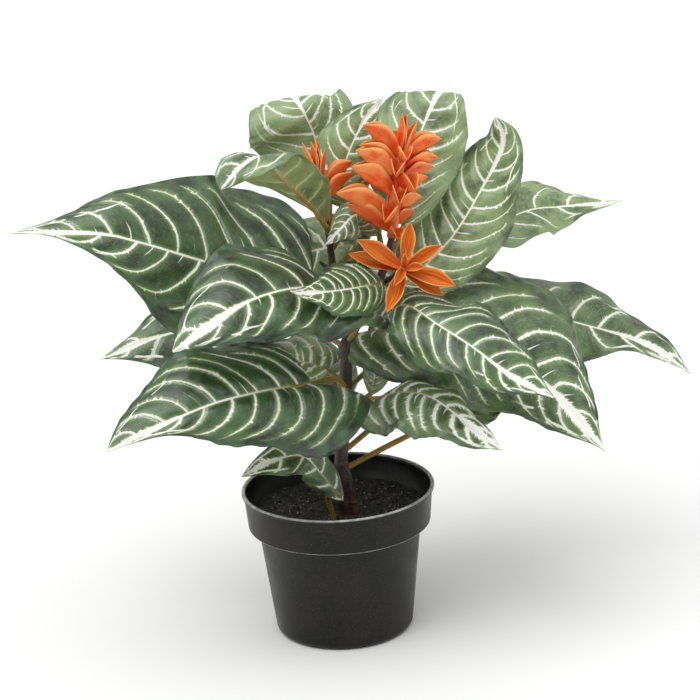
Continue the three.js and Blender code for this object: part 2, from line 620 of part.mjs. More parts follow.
function add(name, geometry, colour, roughness) {
  const mesh = new THREE.Mesh(geometry, new THREE.MeshStandardMaterial({ color: colour, roughness }));
  mesh.name = name;
  group.add(mesh);
}

const grownStem = stemSolid(GAP);
const rootedPetiole = petioleSolid(LEAVES.bottom_left, GAP);

const pot = new THREE.LatheGeometry(potProfile().map(([r, z]) => new THREE.Vector2(r, z)), POT_SIDES);
pot.rotateX(Math.PI / 2);
add('pot', pot, COLOURS.pot, 0.5);
add('soil', toGeometry(soilSolid([grownStem, rootedPetiole])), COLOURS.soil, 0.95);
add('stem', toGeometry(stemSolid(0)), COLOURS.stem, 0.6);
for (const [name, shape] of Object.entries(BLOOMS)) {
  add(`bloom_${name}`, toGeometry(bloomSolid(shape).subtract(grownStem)), COLOURS.bloom, 0.5);
}
for (const [name, leaf] of Object.entries({ ...LEAVES, ...BACK_LEAVES })) {
  add(`leaf_${name}`, toGeometry(leafSolid(leaf, grownStem)), COLOURS.leaf, 0.5);
}

export default group;
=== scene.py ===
import math

import bpy
import numpy as np
from mathutils import Matrix, Vector, noise


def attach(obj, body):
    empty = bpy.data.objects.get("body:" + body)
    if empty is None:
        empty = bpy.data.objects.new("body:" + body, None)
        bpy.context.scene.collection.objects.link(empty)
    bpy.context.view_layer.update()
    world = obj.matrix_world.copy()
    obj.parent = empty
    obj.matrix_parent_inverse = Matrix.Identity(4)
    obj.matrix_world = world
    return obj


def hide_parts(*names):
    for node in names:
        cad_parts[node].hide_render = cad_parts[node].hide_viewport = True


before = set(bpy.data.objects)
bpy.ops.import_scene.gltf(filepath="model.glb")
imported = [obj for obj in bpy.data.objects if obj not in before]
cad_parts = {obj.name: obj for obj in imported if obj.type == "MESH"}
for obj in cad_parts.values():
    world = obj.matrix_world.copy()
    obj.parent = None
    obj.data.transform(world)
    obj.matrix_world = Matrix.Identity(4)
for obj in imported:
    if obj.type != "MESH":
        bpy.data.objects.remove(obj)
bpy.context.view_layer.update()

# Potted aphelandra. Shapes are worked out in millimetres and made in metres:
# +Z up, the viewer on the -Y side, the origin at the centre of the pot's flat bottom.
MM = 0.001
BODY = "root"

# Pot
POT_HEIGHT = 101
RIM_RADIUS = 65
RIM_LIP = 2.5
BAND_HEIGHT = 25
BAND_TOP_RADIUS = 63.6
BAND_BOTTOM_RADIUS = 61.6
BODY_TOP_RADIUS = 55
BODY_BOTTOM_RADIUS = 46.8
BOTTOM_ROUNDING = 5
POT_WALL = 1.6
POT_FLOOR = 2
POT_SIDES = 160
# Heights in mm of the lip's band and of the band's lower edge, which are painted light grey as painted
# highlights.
LIP_HIGHLIGHT = (99.6, 100.6)
STEP_HIGHLIGHT = 75.7

# Soil
SOIL_LEVEL = 82
SOIL_BACK_RISE = 2
SOIL_ROUGHNESS = 0.9
SOIL_RINGS = 90
SOIL_SIDES = 180
SOIL_GAP = 0.3
SOIL_FOOT = 1.7
GRAINS = 1500
GRAIN_SIZES = (0.4, 1.6)
SPECKS = 700
SPECK_SIZES = (0.3, 0.8)
CRUMB_CLEARANCE = 3

# Stem
STEM_SIDES = 20
STEM_STEPS = 60
STEM_VOXEL = 0.55
NODE_SPACING = 27
NODE_START = 4
NODE_HEIGHT = 0.45
NODE_SPREAD = 1.3

# Leaves
BLADE_THICKNESS = 0.7
EDGE_THICKNESS = 0.35
BLADE_ROWS = 104
BLADE_COLUMNS = 21
TIP_HALF_WIDTH = 0.5
BASE_FULLNESS = 0.6
LOBE_FADE = 6
LOBE_PLEATS = 1.6
PETIOLE_RADIUS = 1.9
PETIOLE_SIDES = 12
PETIOLE_STEPS = 26
QUILT_HEIGHT = 1.8
RUFFLE_HEIGHT = 0.9
UNEVENNESS = 2.2
GROOVE_DEPTH = 0.8
GROOVE_SPREAD = 1.8
RIB_HEIGHT = 1.5
RIB_SPREAD = 1.1
VEIN_SHIFTS = (0.15, 0.5)

# Blooms
BRACT_THICKNESS = 0.8
BRACT_CURL = 0.2
BRACT_ROOT = 1.5
BRACT_TAPER = 0.55
BRACT_ROWS = 22
BRACT_COLUMNS = 6
SPINDLE_SIDES = 16
SPINDLE_STEPS = 12

# Stage, in metres, degrees and shares of full light. BEHIND_SPAN: the Y of the
# directions over which the sky behind the camera brightens. FOCAL_SHARE: the focal
# length fitted to the photo over the photo's width, both in pixels.
FLOOR_SIZE = 14.0
SKY_LOW = 0.45
SKY_HIGH = 0.95
SKY_BEHIND = 0.25
BEHIND_SPAN = (-0.95, -0.3)
LAMPS = {
    "key": dict(towards=(-0.3, -0.45, 1.0), strength=1.65, angle=60),
    "fill": dict(towards=(0.7, -0.6, 0.8), strength=0.35, angle=80),
}
CAMERA_PLACE = (0.013, -1.511, 0.681)
CAMERA_PITCH = 17.8
CAMERA_ROLL = 3.0
FOCAL_SHARE = 2400 / 700
SENSOR = 36.0

# Leaves. spine: the midrib from the blade's base to its tip. Pairs are left and
# right as seen from above, looking along the midrib, and one number stands for
# both. half: the greatest half widths. widest: how far along they come. point: how
# slim the end runs out. face: the way the upper side looks at the base, the middle
# and the tip. fold: how far the halves are lifted, in degrees. droop: how far they
# bend down again towards the margin. wave: the margin's height, number of waves and
# phase. base: how full the blade's base is, less for fuller, where it isn't the
# usual. lobe: how wide the base starts beside its petiole, as a share of the half
# width. turn: how far that start is turned back, in degrees.
LEAVES = dict(
    left_long=dict(
        stalk=[[8, 4, 228], [0, 7, 238]],
        spine=[[-9, 10, 245], [-42, -4, 255], [-72, -18, 265],
               [-114, -34, 285], [-144, -40, 295], [-199, -35, 297]],
        half=[51, 64], widest=[0.35, 0.28], point=[2.2, 1.2], fold=4, droop=12, wave=[4, 3, 0.1],
        face=[[0, -0.7, 0.7], [0, -0.85, 0.5], [0, -0.7, 0.7]], base=[0.6, 0.5], lobe=[0, 0.5], turn=[0, 8]),
    centre_left=dict(
        stalk=[[12, 1, 202], [19, -8, 214]],
        spine=[[29, -12, 224], [8, -32, 244], [-16, -56, 257],
               [-47, -82, 258], [-75, -98, 246], [-96, -104, 234]],
        half=[38, 46], widest=[0.35, 0.52], point=[0.85, 0.9], fold=5, droop=15, wave=[6, 3, 0.3],
        face=[[0, -0.1, 1], [-0.2, -0.8, 0.55], [-0.3, -0.9, 0.4]], base=[0.4, 0.6]),
    upper_left=dict(
        stalk=[[3, 6, 273], [3, 4, 278]],
        spine=[[2, 0, 281], [-11, -22, 305], [-23, -40, 324],
               [-35, -58, 343], [-49, -68, 339], [-61, -72, 327]],
        half=[27, 23], widest=[0.5, 0.7], point=[0.9, 0.5], fold=[5, 15], droop=20, wave=[2, 2, 0.2],
        face=[[-0.3, 0.6, 0.7], [-0.3, 0.3, 0.9], [-0.4, -0.8, 0.5]], base=[1.3, 1.4]),
    top_left=dict(
        stalk=[[3, 6, 270], [4, 15, 282]],
        spine=[[5, 24, 292], [1, 34, 314], [-3, 38, 333], [-9, 34, 350], [-14, 42, 357], [-16, 60, 354]],
        half=[42, 32], widest=0.6, point=0.8, fold=5, droop=15, wave=[5, 2.5, 0.0],
        face=[[0, -0.95, 0.3], [0, -0.9, 0.4], [0, 0, 1]]),
    top_mid=dict(
        stalk=[[4, 5, 262], [12, 10, 276]],
        spine=[[18, 14, 289], [15, 18, 313], [27, 22, 340], [43, 24, 359]],
        half=[24, 20], widest=[0.45, 0.4], point=[1.1, 1.2], fold=[5, 12], droop=15, wave=[2, 3, 0.4],
        face=[[-0.2, -0.9, 0.3], [-0.2, -0.9, 0.3], [-0.1, -0.9, 0.4]]),
    top_right=dict(
        stalk=[[40, 2, 254], [46, 8, 262]],
        spine=[[53, 14, 275], [60, 34, 314], [71, 46, 338], [80, 56, 352], [85, 74, 350]],
        half=[36, 33], widest=[0.55, 0.5], point=[0.7, 0.8], fold=5, droop=15, wave=[4, 3, 0.6],
        face=[[0, -0.9, 0.4], [0, -0.85, 0.5], [0, 0, 1]]),
    right_upright=dict(
        stalk=[[35, 3, 242], [43, 4, 238]],
        spine=[[51, 6, 237], [83, 22, 262], [105, 34, 291], [121, 40, 320], [117, 36, 340]],
        half=[34, 31], widest=0.42, point=[0.8, 0.9], fold=[3, 5], droop=15, wave=[4, 3, 0.2],
        face=[[-0.1, -0.9, 0.4], [-0.2, -0.9, 0.35], [-0.2, -0.9, 0.2]]),
    right_back=dict(
        stalk=[[31, 3, 236], [60, 24, 246]],
        spine=[[91, 44, 255], [138, 84, 262], [163, 96, 261], [192, 106, 259], [208, 112, 259]],
        half=[32, 26], widest=[0.45, 0.4], point=[1.3, 1.4], fold=5, droop=10, wave=[3, 2.5, 0.3],
        face=[[0, -0.4, 0.9], [0, -0.5, 0.9], [0, -0.4, 0.9]]),
    right_far=dict(
        stalk=[[12, 2, 200], [44, 34, 200]],
        spine=[[80, 60, 198], [133, 86, 190], [180, 100, 173], [222, 106, 155], [254, 106, 131]],
        half=[42, 38], widest=[0.4, 0.32], point=[0.9, 1.6], fold=5, droop=15, wave=[6, 3, 0.1],
        face=[[0, -0.5, 0.8], [0, -0.6, 0.8], [0.2, -0.6, 0.7]]),
    right_big=dict(
        stalk=[[11, 1, 190], [17, 1, 201]],
        spine=[[26, 1, 208], [73, 0, 208], [112, -8, 193], [141, -16, 170], [177, -32, 127]],
        half=[66, 42], widest=[0.44, 0.45], point=1.2, fold=[8, 0], droop=20, wave=[6, 3, 0.2],
        face=[[0, -0.7, 0.8], [0.1, -0.7, 0.7], [0.5, -0.7, 0.5]], base=[0.6, 0.4], lobe=[0, 0.4],
        turn=[0, 85]),
    centre_right=dict(
        stalk=[[23, 3, 220], [30, -4, 218]],
        spine=[[35, -14, 220], [50, -30, 234], [71, -50, 225],
               [92, -60, 212], [114, -68, 195], [140, -75, 181]],
        half=[38, 28], widest=[0.55, 0.42], point=[1.0, 1.2], fold=5, droop=20, wave=[5, 3, 0.4],
        face=[[0.1, -0.5, 0.8], [0.3, -0.7, 0.7], [0.3, -0.8, 0.6]]),
    low_right=dict(
        stalk=[[8, 0, 160], [18, -4, 162]],
        spine=[[30, -10, 165], [46, -22, 172], [64, -38, 173], [84, -56, 162], [107, -70, 146]],
        half=[13, 31], widest=[0.5, 0.33], point=[1.0, 0.9], fold=5, droop=15, wave=[5, 3, 0.2],
        face=[[0.1, -0.6, 0.8], [0.2, -0.8, 0.6], [0.3, -0.8, 0.5]], lobe=[0, 0.55], turn=[0, 50]),
    low_left=dict(
        stalk=[[9, 0, 170], [2, -20, 183]],
        spine=[[-13, -48, 190], [-46, -74, 195], [-83, -98, 194], [-140, -114, 175]],
        half=[52, 46], widest=[0.15, 0.45], point=[1.5, 0.8], fold=[5, 8], droop=20, wave=[6, 2.3, 0.1],
        face=[[0, -0.7, 0.7], [-0.1, -0.8, 0.6], [-0.2, -0.8, 0.6]], base=[0.6, 0.3], lobe=[1.1, 0.7],
        turn=[76, 0]),
    left_back=dict(
        stalk=[[10, 1, 198], [-8, 18, 203]],
        spine=[[-28, 30, 202], [-70, 54, 200], [-115, 64, 193], [-159, 64, 178]],
        half=[28, 24], widest=[0.5, 0.45], point=[1.2, 1.1], fold=5, droop=10, wave=[5, 3, 0.2],
        face=[[0, -0.6, 0.8], [0, -0.7, 0.7], [0, -0.7, 0.7]]),
    bottom_left=dict(
        stalk=[[-3, -8, 60], [-4, -14, 84], [-7, -18, 100]],
        spine=[[3, -26, 100], [-10, -26, 119], [-22, -32, 135], [-43, -40, 135], [-62, -46, 128]],
        half=14, widest=0.5, point=0.9, fold=5, droop=10, wave=[2, 2, 0.0],
        face=[[0.3, -0.7, 0.5], [0, -0.7, 0.7], [-0.2, -0.7, 0.7]]),
    small_centre=dict(
        stalk=[[34, 3, 241], [36, -11, 244]],
        spine=[[36, -24, 248], [12, -52, 253], [-10, -76, 259], [-22, -84, 263]],
        half=20, widest=[0.4, 0.35], point=1.2, fold=[5, 15], droop=15, wave=[2, 3, 0.5],
        face=[[0, -0.8, 0.6], [-0.1, -0.8, 0.5], [-0.2, -0.8, 0.5]]),
    small_low=dict(
        stalk=[[9, 0, 152], [17, 3, 157]], spine=[[25, 5, 162], [28, 5, 173], [30, 5, 186], [29, 6, 196]],
        half=[9, 11], widest=0.55, point=0.8, fold=12, droop=5, wave=[1, 2, 0.3],
        face=[[-0.3, -0.9, 0], [-0.3, -0.9, 0.1], [-0.2, -0.9, 0.2]]),
    under_cone=dict(
        stalk=[[37, 3, 248], [37, 9, 260]],
        spine=[[37, 8, 272], [23, 3, 287], [11, -7, 281], [1, -12, 272]],
        half=[15, 13], widest=0.45, point=0.9, fold=-10, droop=20, wave=[2, 2, 0.2],
        face=[[0, -0.95, 0.3], [-0.1, -0.9, 0.4], [-0.3, -0.8, 0.5]]),
    behind_trunk=dict(
        stalk=[[8, 0, 164], [4, 10, 172]],
        spine=[[-2, 16, 178], [-24, 26, 182], [-46, 36, 174], [-64, 44, 160]],
        half=[24, 30], widest=0.45, point=1.1, fold=5, droop=20, wave=[4, 3, 0.2],
        face=[[0, -0.7, 0.7], [0, -0.6, 0.8], [0, -0.5, 0.9]], lobe=[0, 0.3], turn=[0, 20]),
    behind_stem=dict(
        stalk=[[5, 5, 250], [16, 15, 257]],
        spine=[[28, 23, 262], [-3, 33, 257], [-34, 42, 246], [-58, 46, 228]],
        half=24, widest=0.45, point=1.1, fold=5, droop=15, wave=[3, 3, 0.5],
        face=[[0, -0.9, 0.4], [0, -0.9, 0.4], [-0.2, -0.8, 0.5]], lobe=[0.4, 0.6], turn=[20, 40]),
    low_back_right=dict(
        stalk=[[9, 0, 168], [22, 16, 174]],
        spine=[[32, 28, 180], [54, 56, 186], [80, 86, 176], [100, 112, 154]],
        half=30, widest=0.45, point=1.1, fold=8, droop=20, wave=[4, 3, 0.1],
        face=[[0, -0.2, 1], [0.2, 0.1, 1], [0.4, 0.4, 0.8]]),
    back_left=dict(
        stalk=[[9, 5, 224], [2, 26, 226], [-12, 54, 246]],
        spine=[[-26, 63, 264], [-64, 72, 270], [-98, 76, 276], [-130, 86, 273]],
        half=[22, 18], widest=0.45, point=1.1, fold=8, droop=20, wave=[4, 3, 0.2],
        face=[[0, -0.3, 1], [0, -0.2, 1], [-0.2, -0.2, 1]]),
    low_right_hidden=dict(
        stalk=[[3, -3, 112], [26, 2, 122], [46, 6, 130]],
        spine=[[52, 8, 133], [80, 16, 146], [108, 24, 150], [138, 30, 140]],
        half=[26, 22], widest=0.45, point=1.1, fold=5, droop=15, wave=[3, 3, 0.1],
        face=[[0, -0.3, 1], [0.1, -0.3, 1], [0.3, -0.3, 0.9]]),
    back_low=dict(
        stalk=[[5, -2, 134], [2, 20, 142]],
        spine=[[0, 34, 148], [-12, 68, 160], [-26, 104, 158], [-38, 142, 138]],
        half=34, widest=0.45, point=1.1, fold=8, droop=20, wave=[4, 3, 0.2],
        face=[[0, -0.2, 1], [0, 0.1, 1], [0, 0.5, 0.9]]),
    back_mid=dict(
        stalk=[[11, 2, 208], [22, 24, 216]],
        spine=[[30, 36, 220], [50, 72, 228], [68, 108, 222], [84, 144, 200]],
        half=38, widest=0.45, point=1.1, fold=8, droop=20, wave=[4, 3, 0.4],
        face=[[0, -0.2, 1], [0, 0.1, 1], [0.1, 0.5, 0.9]]),
    back_right_low=dict(
        stalk=[[3, -3, 124], [24, 16, 134]],
        spine=[[36, 28, 140], [66, 54, 146], [98, 78, 140], [128, 98, 118]],
        half=30, widest=0.45, point=1.1, fold=8, droop=20, wave=[3, 3, 0.6],
        face=[[0, -0.2, 1], [0.1, 0.1, 1], [0.4, 0.3, 0.8]]),
)

# Markings: side veins on each side, how far they sweep towards the tip, how broad
# they are, how light the green is (partly the leaf's own green, partly painted light
# that lightens the leaves high up), and how far the midrib swells near the tip in mm.
PLAIN_MARKS = (8, 1.0, 0.75, 0.35, 1.2)
MARKS = dict(
    left_long=(10, 1.0, 0.78, 0.06, 0.9),
    centre_left=(9, 1.0, 0.85, 0.04, 2.2),
    upper_left=(8, 0.9, 0.7, 0.6, 1.0),
    top_left=(8, 1.0, 0.88, 1.15, 1.1),
    top_mid=(8, 0.9, 0.78, 0.88, 1.1),
    top_right=(8, 0.9, 0.92, 0.72, 1.3),
    right_upright=(11, 1.1, 0.76, 0.72, 0.9),
    right_back=(6, 1.0, 0.9, 0.8, 1.0),
    right_far=(8, 0.9, 1.35, 0.3, 1.9),
    right_big=(10, 0.9, 1.05, 0.2, 2.8),
    centre_right=(12, 1.0, 0.7, 0.08, 1.4),
    low_right=(9, 1.0, 1.3, 0.22, 2.8),
    low_left=(9, 1.1, 0.75, 0.0, 1.6),
    left_back=(6, 0.9, 1.15, 0.18, 1.8),
    bottom_left=(6, 0.9, 0.95, 0.2, 1.5),
    small_centre=(10, 1.0, 0.5, 0.0, 1.0),
    small_low=(7, 1.2, 0.4, 1.0, 0.4),
    under_cone=(9, 0.9, 0.5, 0.5, 0.3),
    behind_trunk=(8, 1.0, 1.2, 0.8, 1.2),
    behind_stem=(8, 1.0, 0.8, 0.6, 1.0),
)

# Stem: each length's path and its radii along it.
STEM_PARTS = [
    ([(5, -2, 40), (4, -3, 80), (3, -3, 116), (6, -1, 140), (9, 0, 172), (11, 2, 202)],
     [4.4, 5.0, 4.4, 4.2, 4.2, 4.0]),
    ([(12, -5, 40), (11, -5, 80), (8, -4, 100), (5, -3, 118)], [3.4, 3.2, 3.4, 2.4]),
    ([(10, 1, 188), (11, 2, 203), (8, 4, 229), (5, 5, 249), (3, 6, 275), (1, 6, 286)],
     [3.4, 3.2, 2.8, 2.6, 2.2, 1.8]),
    ([(10, 1, 186), (14, 2, 204), (24, 3, 222), (36, 3, 245), (44, 2, 270), (45, 2, 276)],
     [3.6, 3.4, 3.0, 2.8, 2.4, 2.2]),
    ([(28, 3, 230), (34, -4, 240), (42, -14, 248), (48, -21, 254)], [2.0, 1.9, 1.8, 1.6]),
    ([(6, 5, 244), (1, 3, 252), (-4, 2, 257)], [1.6, 1.4, 1.0]),
]

# Blooms. Each row of bracts gives how far up the spindle the bract is rooted, its turn
# about it (0 right, 90 away, 180 left), its rise, its length, its half width and how
# far its sides are folded up. core: the spindle's radii from its foot to its top.
BLOOMS = dict(
    cone=dict(
        foot=[44, 2, 271], top=[52, 0, 325], core=[3.2, 4.2, 3.0],
        bracts=[
            [0.06, 196, 19, 36, 4.5, 12], [0.26, 200, 10, 43, 5, 15], [0.5, 198, 21, 37, 5, 15],
            [0.7, 204, 23, 37, 5, 14], [0.84, 196, 19, 31, 5, 12], [0.98, 200, 28, 34, 5, 13],
            [0.14, 14, 29, 16, 4, 9], [0.32, 8, 24, 19, 4, 10], [0.5, 14, 26, 23, 4.5, 11],
            [0.68, 10, 17, 24, 4.5, 11], [0.82, 16, 9, 26, 4.5, 11], [0.98, 12, 18, 28, 5, 12],
            [0.06, 280, -8, 18, 4.5, 9], [0.28, 255, -6, 26, 5, 12], [0.5, 272, -4, 26, 5, 13],
            [0.66, 292, -4, 26, 5, 13], [0.8, 262, 1, 25, 5, 12], [0.95, 278, 7, 22, 5, 11],
            [0.18, 102, 30, 20, 4, 9], [0.42, 100, 30, 22, 4, 10], [0.6, 108, 25, 25, 4.5, 11],
            [0.76, 98, 19, 28, 4.5, 12], [0.92, 104, 23, 26, 4.5, 12],
            [1.0, 190, 78, 28, 5, 4], [1.0, 30, 79, 28, 5.5, 4], [1.0, 10, 62, 25, 5, 4],
        ],
    ),
    spike=dict(
        foot=[1, 6, 283], top=[-1, 5, 313], core=[2.6, 3.0, 2.2],
        bracts=[
            [0.2, 330, 58, 16, 2.5, 5], [0.45, 2, 28, 26, 3.5, 10], [0.72, 6, 25, 26, 3.5, 10],
            [0.6, 182, 32, 22, 3, 8], [0.45, 95, 36, 20, 3, 7], [0.62, 270, 40, 16, 3, 7],
            [0.95, 185, 64, 26, 5.5, 3.5], [1.0, 170, 84, 27, 6, 3], [1.0, 30, 81, 23, 6, 3],
            [0.95, 355, 66, 20, 5.5, 3], [1.0, 200, 76, 24, 5.5, 3],
        ],
    ),
    star=dict(
        foot=[49.6, -20.6, 254], top=[50.2, -25.3, 256.8], core=[3.0, 3.2],
        bracts=[
            [0.7, 80, 6, 29, 5, 7], [0.7, 149, 4, 34, 6, 8], [0.4, 163, -6, 35, 5.5, 6],
            [0.7, 246, 8, 34, 5.5, 8], [0.7, 336, 4, 34, 6, 8], [0.4, 323, -4, 29, 5.5, 5],
            [0.7, 27, 14, 28, 4.5, 7], [1.0, 240, 30, 21, 3.5, 7], [1.0, 350, 34, 15, 3, 4],
            [1.0, 90, 50, 12, 2.5, 3],
        ],
    ),
)

random = np.random.default_rng(7)


# Curves and sheets


def unit(v):
    return v / np.maximum(np.linalg.norm(v, axis=-1, keepdims=True), 1e-9)


def smooth(value, low, high):
    """0 below low and 1 above high, with an eased way between."""
    x = np.clip((np.asarray(value, float) - low) / (high - low), 0, 1)
    return x * x * (3 - 2 * x)


def spline(points, t):
    """Places on the Catmull-Rom curve through the points, for t from 0 to 1."""
    p = np.asarray(points, float)
    ends = np.vstack([2 * p[0] - p[1], p, 2 * p[-1] - p[-2]])
    place = np.clip(t, 0, 1) * (len(p) - 1)
    k = np.minimum(place.astype(int), len(p) - 2)
    w = (place - k)[:, None]
    a, b, c, d = ends[k], ends[k + 1], ends[k + 2], ends[k + 3]
    ta, tb = (c - a) / 2, (d - b) / 2
    return b + ta * w + (3 * (c - b) - 2 * ta - tb) * w**2 + (2 * (b - c) + ta + tb) * w**3


def slope(points, t):
    step = 1e-4
    ahead = spline(points, np.minimum(t + step, 1))
    return unit(ahead - spline(points, np.maximum(t - step, 0)))


def even(points, t):
    """The spline's t at equal shares of its length, and that length."""
    u = np.linspace(0, 1, 201)
    steps = np.linalg.norm(np.diff(spline(points, u), axis=0), axis=1)
    lengths = np.concatenate([[0], np.cumsum(steps)])
    return np.interp(t * lengths[-1], lengths, u), lengths[-1]


def piece(name, points, faces, materials, slot, which=None, smooth_faces=True):
    """An object of points in mm that rides on the plant's body."""
    mesh = bpy.data.meshes.new(name)
    mesh.from_pydata((np.asarray(points) * MM).tolist(), [], [tuple(f) for f in faces])
    for material in materials:
        mesh.materials.append(material)
    if which is not None:
        mesh.polygons.foreach_set("material_index", np.asarray(which, np.int32))
    mesh.polygons.foreach_set("use_smooth", np.full(len(mesh.polygons), smooth_faces))
    mesh.update()
    obj = bpy.data.objects.new(name, mesh)
    bpy.context.scene.collection.objects.link(obj)
    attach(obj, BODY)
    return obj


def tag(obj, name, values):
    """A vector for each corner of each face, for the materials."""
    layer = obj.data.attributes.new(name, "FLOAT_VECTOR", "CORNER")
    layer.data.foreach_set("vector", np.asarray(values, np.float32).ravel())


def walls(start, sides, bands):
    """Faces between rings of points that follow one another."""
    faces = []
    for k in range(bands):
        for s in range(sides):
            a, b = start + k * sides + s, start + k * sides + (s + 1) % sides
            faces.append((a, b, b + sides, a + sides))
    return faces


def rod(path, radii, sides, steps):
    """Points and faces of a closed round rod whose radius changes along its path."""
    t = np.linspace(0, 1, steps + 1)
    centres, tangents = spline(path, t), slope(path, t)
    radius = np.interp(t * (len(radii) - 1), range(len(radii)), radii)
    across = np.array([1.0, 0, 0]) if abs(tangents[0][2]) > 0.9 else np.array([0, 0, 1.0])
    angles = np.linspace(0, 2 * math.pi, sides, endpoint=False)
    points = []
    for centre, tangent, r in zip(centres, tangents, radius):
        across = unit(across - tangent * across.dot(tangent))
        other = np.cross(tangent, across)
        for angle in angles:
            points.append(centre + r * (across * math.cos(angle) + other * math.sin(angle)))
    faces = walls(0, sides, steps)
    faces.append(tuple(reversed(range(sides))))
    faces.append(tuple(steps * sides + s for s in range(sides)))
    return np.array(points), faces


def thick(grid, thickness):
    """Points and faces of a sheet of rows and columns, thickened along its normals:
    the upper faces come first, then the lower ones, then the rim."""
    rows, columns = grid.shape[:2]
    across = np.gradient(grid, axis=1)
    along = np.gradient(grid, axis=0)
    normal = unit(np.cross(across, along)) * thickness[..., None] / 2
    points = np.concatenate([(grid + normal).reshape(-1, 3), (grid - normal).reshape(-1, 3)])
    i, j = np.meshgrid(np.arange(rows - 1), np.arange(columns - 1), indexing="ij")
    a = (i * columns + j).ravel()
    upper = np.stack([a, a + 1, a + columns + 1, a + columns], axis=1)
    lower = upper[:, ::-1] + rows * columns
    index = np.arange(rows * columns).reshape(rows, columns)
    loop = np.concatenate([index[0], index[1:, -1], index[-1, -2::-1], index[-2:0:-1, 0]])
    ahead = np.roll(loop, -1)
    rim = np.stack([loop, loop + rows * columns, ahead + rows * columns, ahead], axis=1)
    return points, np.concatenate([upper, lower, rim]), len(upper)


# Leaves


def pair(value):
    return np.broadcast_to(value, 2)


def outline(leaf, side, t):
    """Half widths along the blade's left or right side, 0 or 1."""
    warped = t ** (math.log(0.5) / math.log(pair(leaf["widest"])[side]))
    swell = np.maximum(0, np.sin(math.pi * warped))
    base = pair(leaf.get("base", BASE_FULLNESS))[side]
    start = pair(leaf.get("lobe", 0))[side]
    full = np.where(warped < 0.5, start + (1 - start) * swell**base, swell ** pair(leaf["point"])[side])
    return pair(leaf["half"])[side] * full


def leaf_frame(leaf, t):
    """Places, directions, sides and normals along the midrib, and its length."""
    u, length = even(leaf["spine"], t)
    tangent = slope(leaf["spine"], u)
    faces = unit(np.array(leaf["face"], float))
    k = (t >= 0.5).astype(int)
    w = (2 * t - k)[:, None]
    facing = faces[k] * (1 - w) + faces[k + 1] * w
    side = unit(np.cross(tangent, facing))
    return spline(leaf["spine"], u), tangent, side, unit(np.cross(side, tangent)), length


def ripple(points, seed):
    """Soft unevenness between about -1 and 1, without any pattern."""
    return np.array([noise.noise(Vector(p) * 0.045 + Vector((seed, 0, 0))) for p in points.reshape(-1, 3)])


def blade(leaf, marks, seed):
    """The middle surface of a blade, and what its markings are drawn from."""
    count, sweep, _, _, swell = marks
    t = np.linspace(0, 1, BLADE_ROWS + 1)[:, None]
    u = np.linspace(-1, 1, 2 * BLADE_COLUMNS + 1)
    u = np.sign(u) * np.abs(u) ** 1.2
    point, tangent, side, normal, length = leaf_frame(leaf, t[:, 0])
    right = (u > 0).astype(int)
    out = np.abs(u)
    shapes = np.stack([outline(leaf, half, t[:, 0]) for half in (0, 1)], axis=1)
    half = np.maximum(TIP_HALF_WIDTH, shapes[:, right])
    away = half * out
    lift = np.radians(pair(leaf["fold"])[right] - leaf["droop"] * out)
    height, waves, phase = leaf["wave"]
    turn = 2 * math.pi * (waves * t + phase + 0.37 * (1 - right))
    wave = height * out**2 * np.sin(turn) * np.sin(math.pi * t)

    bend = 0.25 * out + 0.5 * out**2 + 0.4 * out**5
    number = count * (t**0.9 - sweep * (0.6 * half + 0.4 * half.max()) * bend / length)
    down = np.gradient(number, axis=0) / (length / BLADE_ROWS)
    over = np.gradient(number, axis=1) / np.maximum(np.gradient(half * u, axis=1), 0.05)
    pitch = np.minimum(1 / np.maximum(np.hypot(down, over), 1e-3), 60)

    shift = np.array(VEIN_SHIFTS)[right] + seed
    between = np.abs(np.sin(math.pi * (number + shift - 0.5))) ** 0.8
    reach = smooth(out, 0.02, 0.2) * (1 - smooth(out, 0.7, 1)) * np.sin(math.pi * t) ** 0.5
    pleats = 1 + LOBE_PLEATS * pair(leaf.get("lobe", 0))[right] * (1 - t) ** 3
    relief = QUILT_HEIGHT * between * reach * np.minimum(1, half / 25) * (1.5 - smooth(t, 0, 0.5))
    swelling = swell * smooth(t, 0.6, 0.86) * (1 - smooth(t, 0.86, 1))
    rib = np.minimum(0.75 + swelling, 0.05 + 0.27 * half)
    relief = relief * pleats - GROOVE_DEPTH * np.exp(-((away / GROOVE_SPREAD) ** 2)) * smooth(1 - t, 0, 0.1)
    turned = np.radians(pair(leaf.get("turn", 0))[right]) * (1 - t) ** LOBE_FADE
    across = away * np.cos(lift)
    grid = point[:, None] + side[:, None] * (np.sign(u) * across * np.cos(turned))[..., None]
    grid = grid - tangent[:, None] * (across * np.sin(turned))[..., None]
    uneven = ripple(grid, seed).reshape(away.shape) * UNEVENNESS * out * smooth(half, 2, 20)
    ruffle = RUFFLE_HEIGHT * out**2 * np.sin(2 * math.pi * (number + shift)) * smooth(half, 4, 20)
    rise = away * np.sin(lift) + wave + relief + uneven + ruffle
    grid = grid + normal[:, None] * rise[..., None]
    t = np.broadcast_to(t, away.shape)
    out = np.broadcast_to(out, away.shape)
    fields = dict(number=number, pitch=pitch, away=away, half=half, rib=rib, t=t, out=out, run=length * t)
    return grid, fields


def blade_tags(fields, corner, right, marks, seed):
    """What the markings are drawn from, for each corner of each face."""
    _, _, bold, tone, _ = marks
    flat = {key: value.ravel()[corner] for key, value in fields.items()}
    shift = np.array(VEIN_SHIFTS)[right.astype(int)] + seed % 0.3
    own = np.empty((*corner.shape, 3))
    own[..., 0] = bold
    own[..., 1] = tone
    own[..., 2] = (seed * 7.7 + 3.1 * right)[:, None]
    return dict(
        vein=np.stack([flat["number"] + shift[:, None], flat["pitch"], flat["away"]], axis=-1),
        blade=np.stack([flat["t"], flat["out"], flat["half"]], axis=-1),
        rib=np.stack([flat["rib"], flat["run"], flat["run"] + flat["away"]], axis=-1),
        leaf=own,
    )


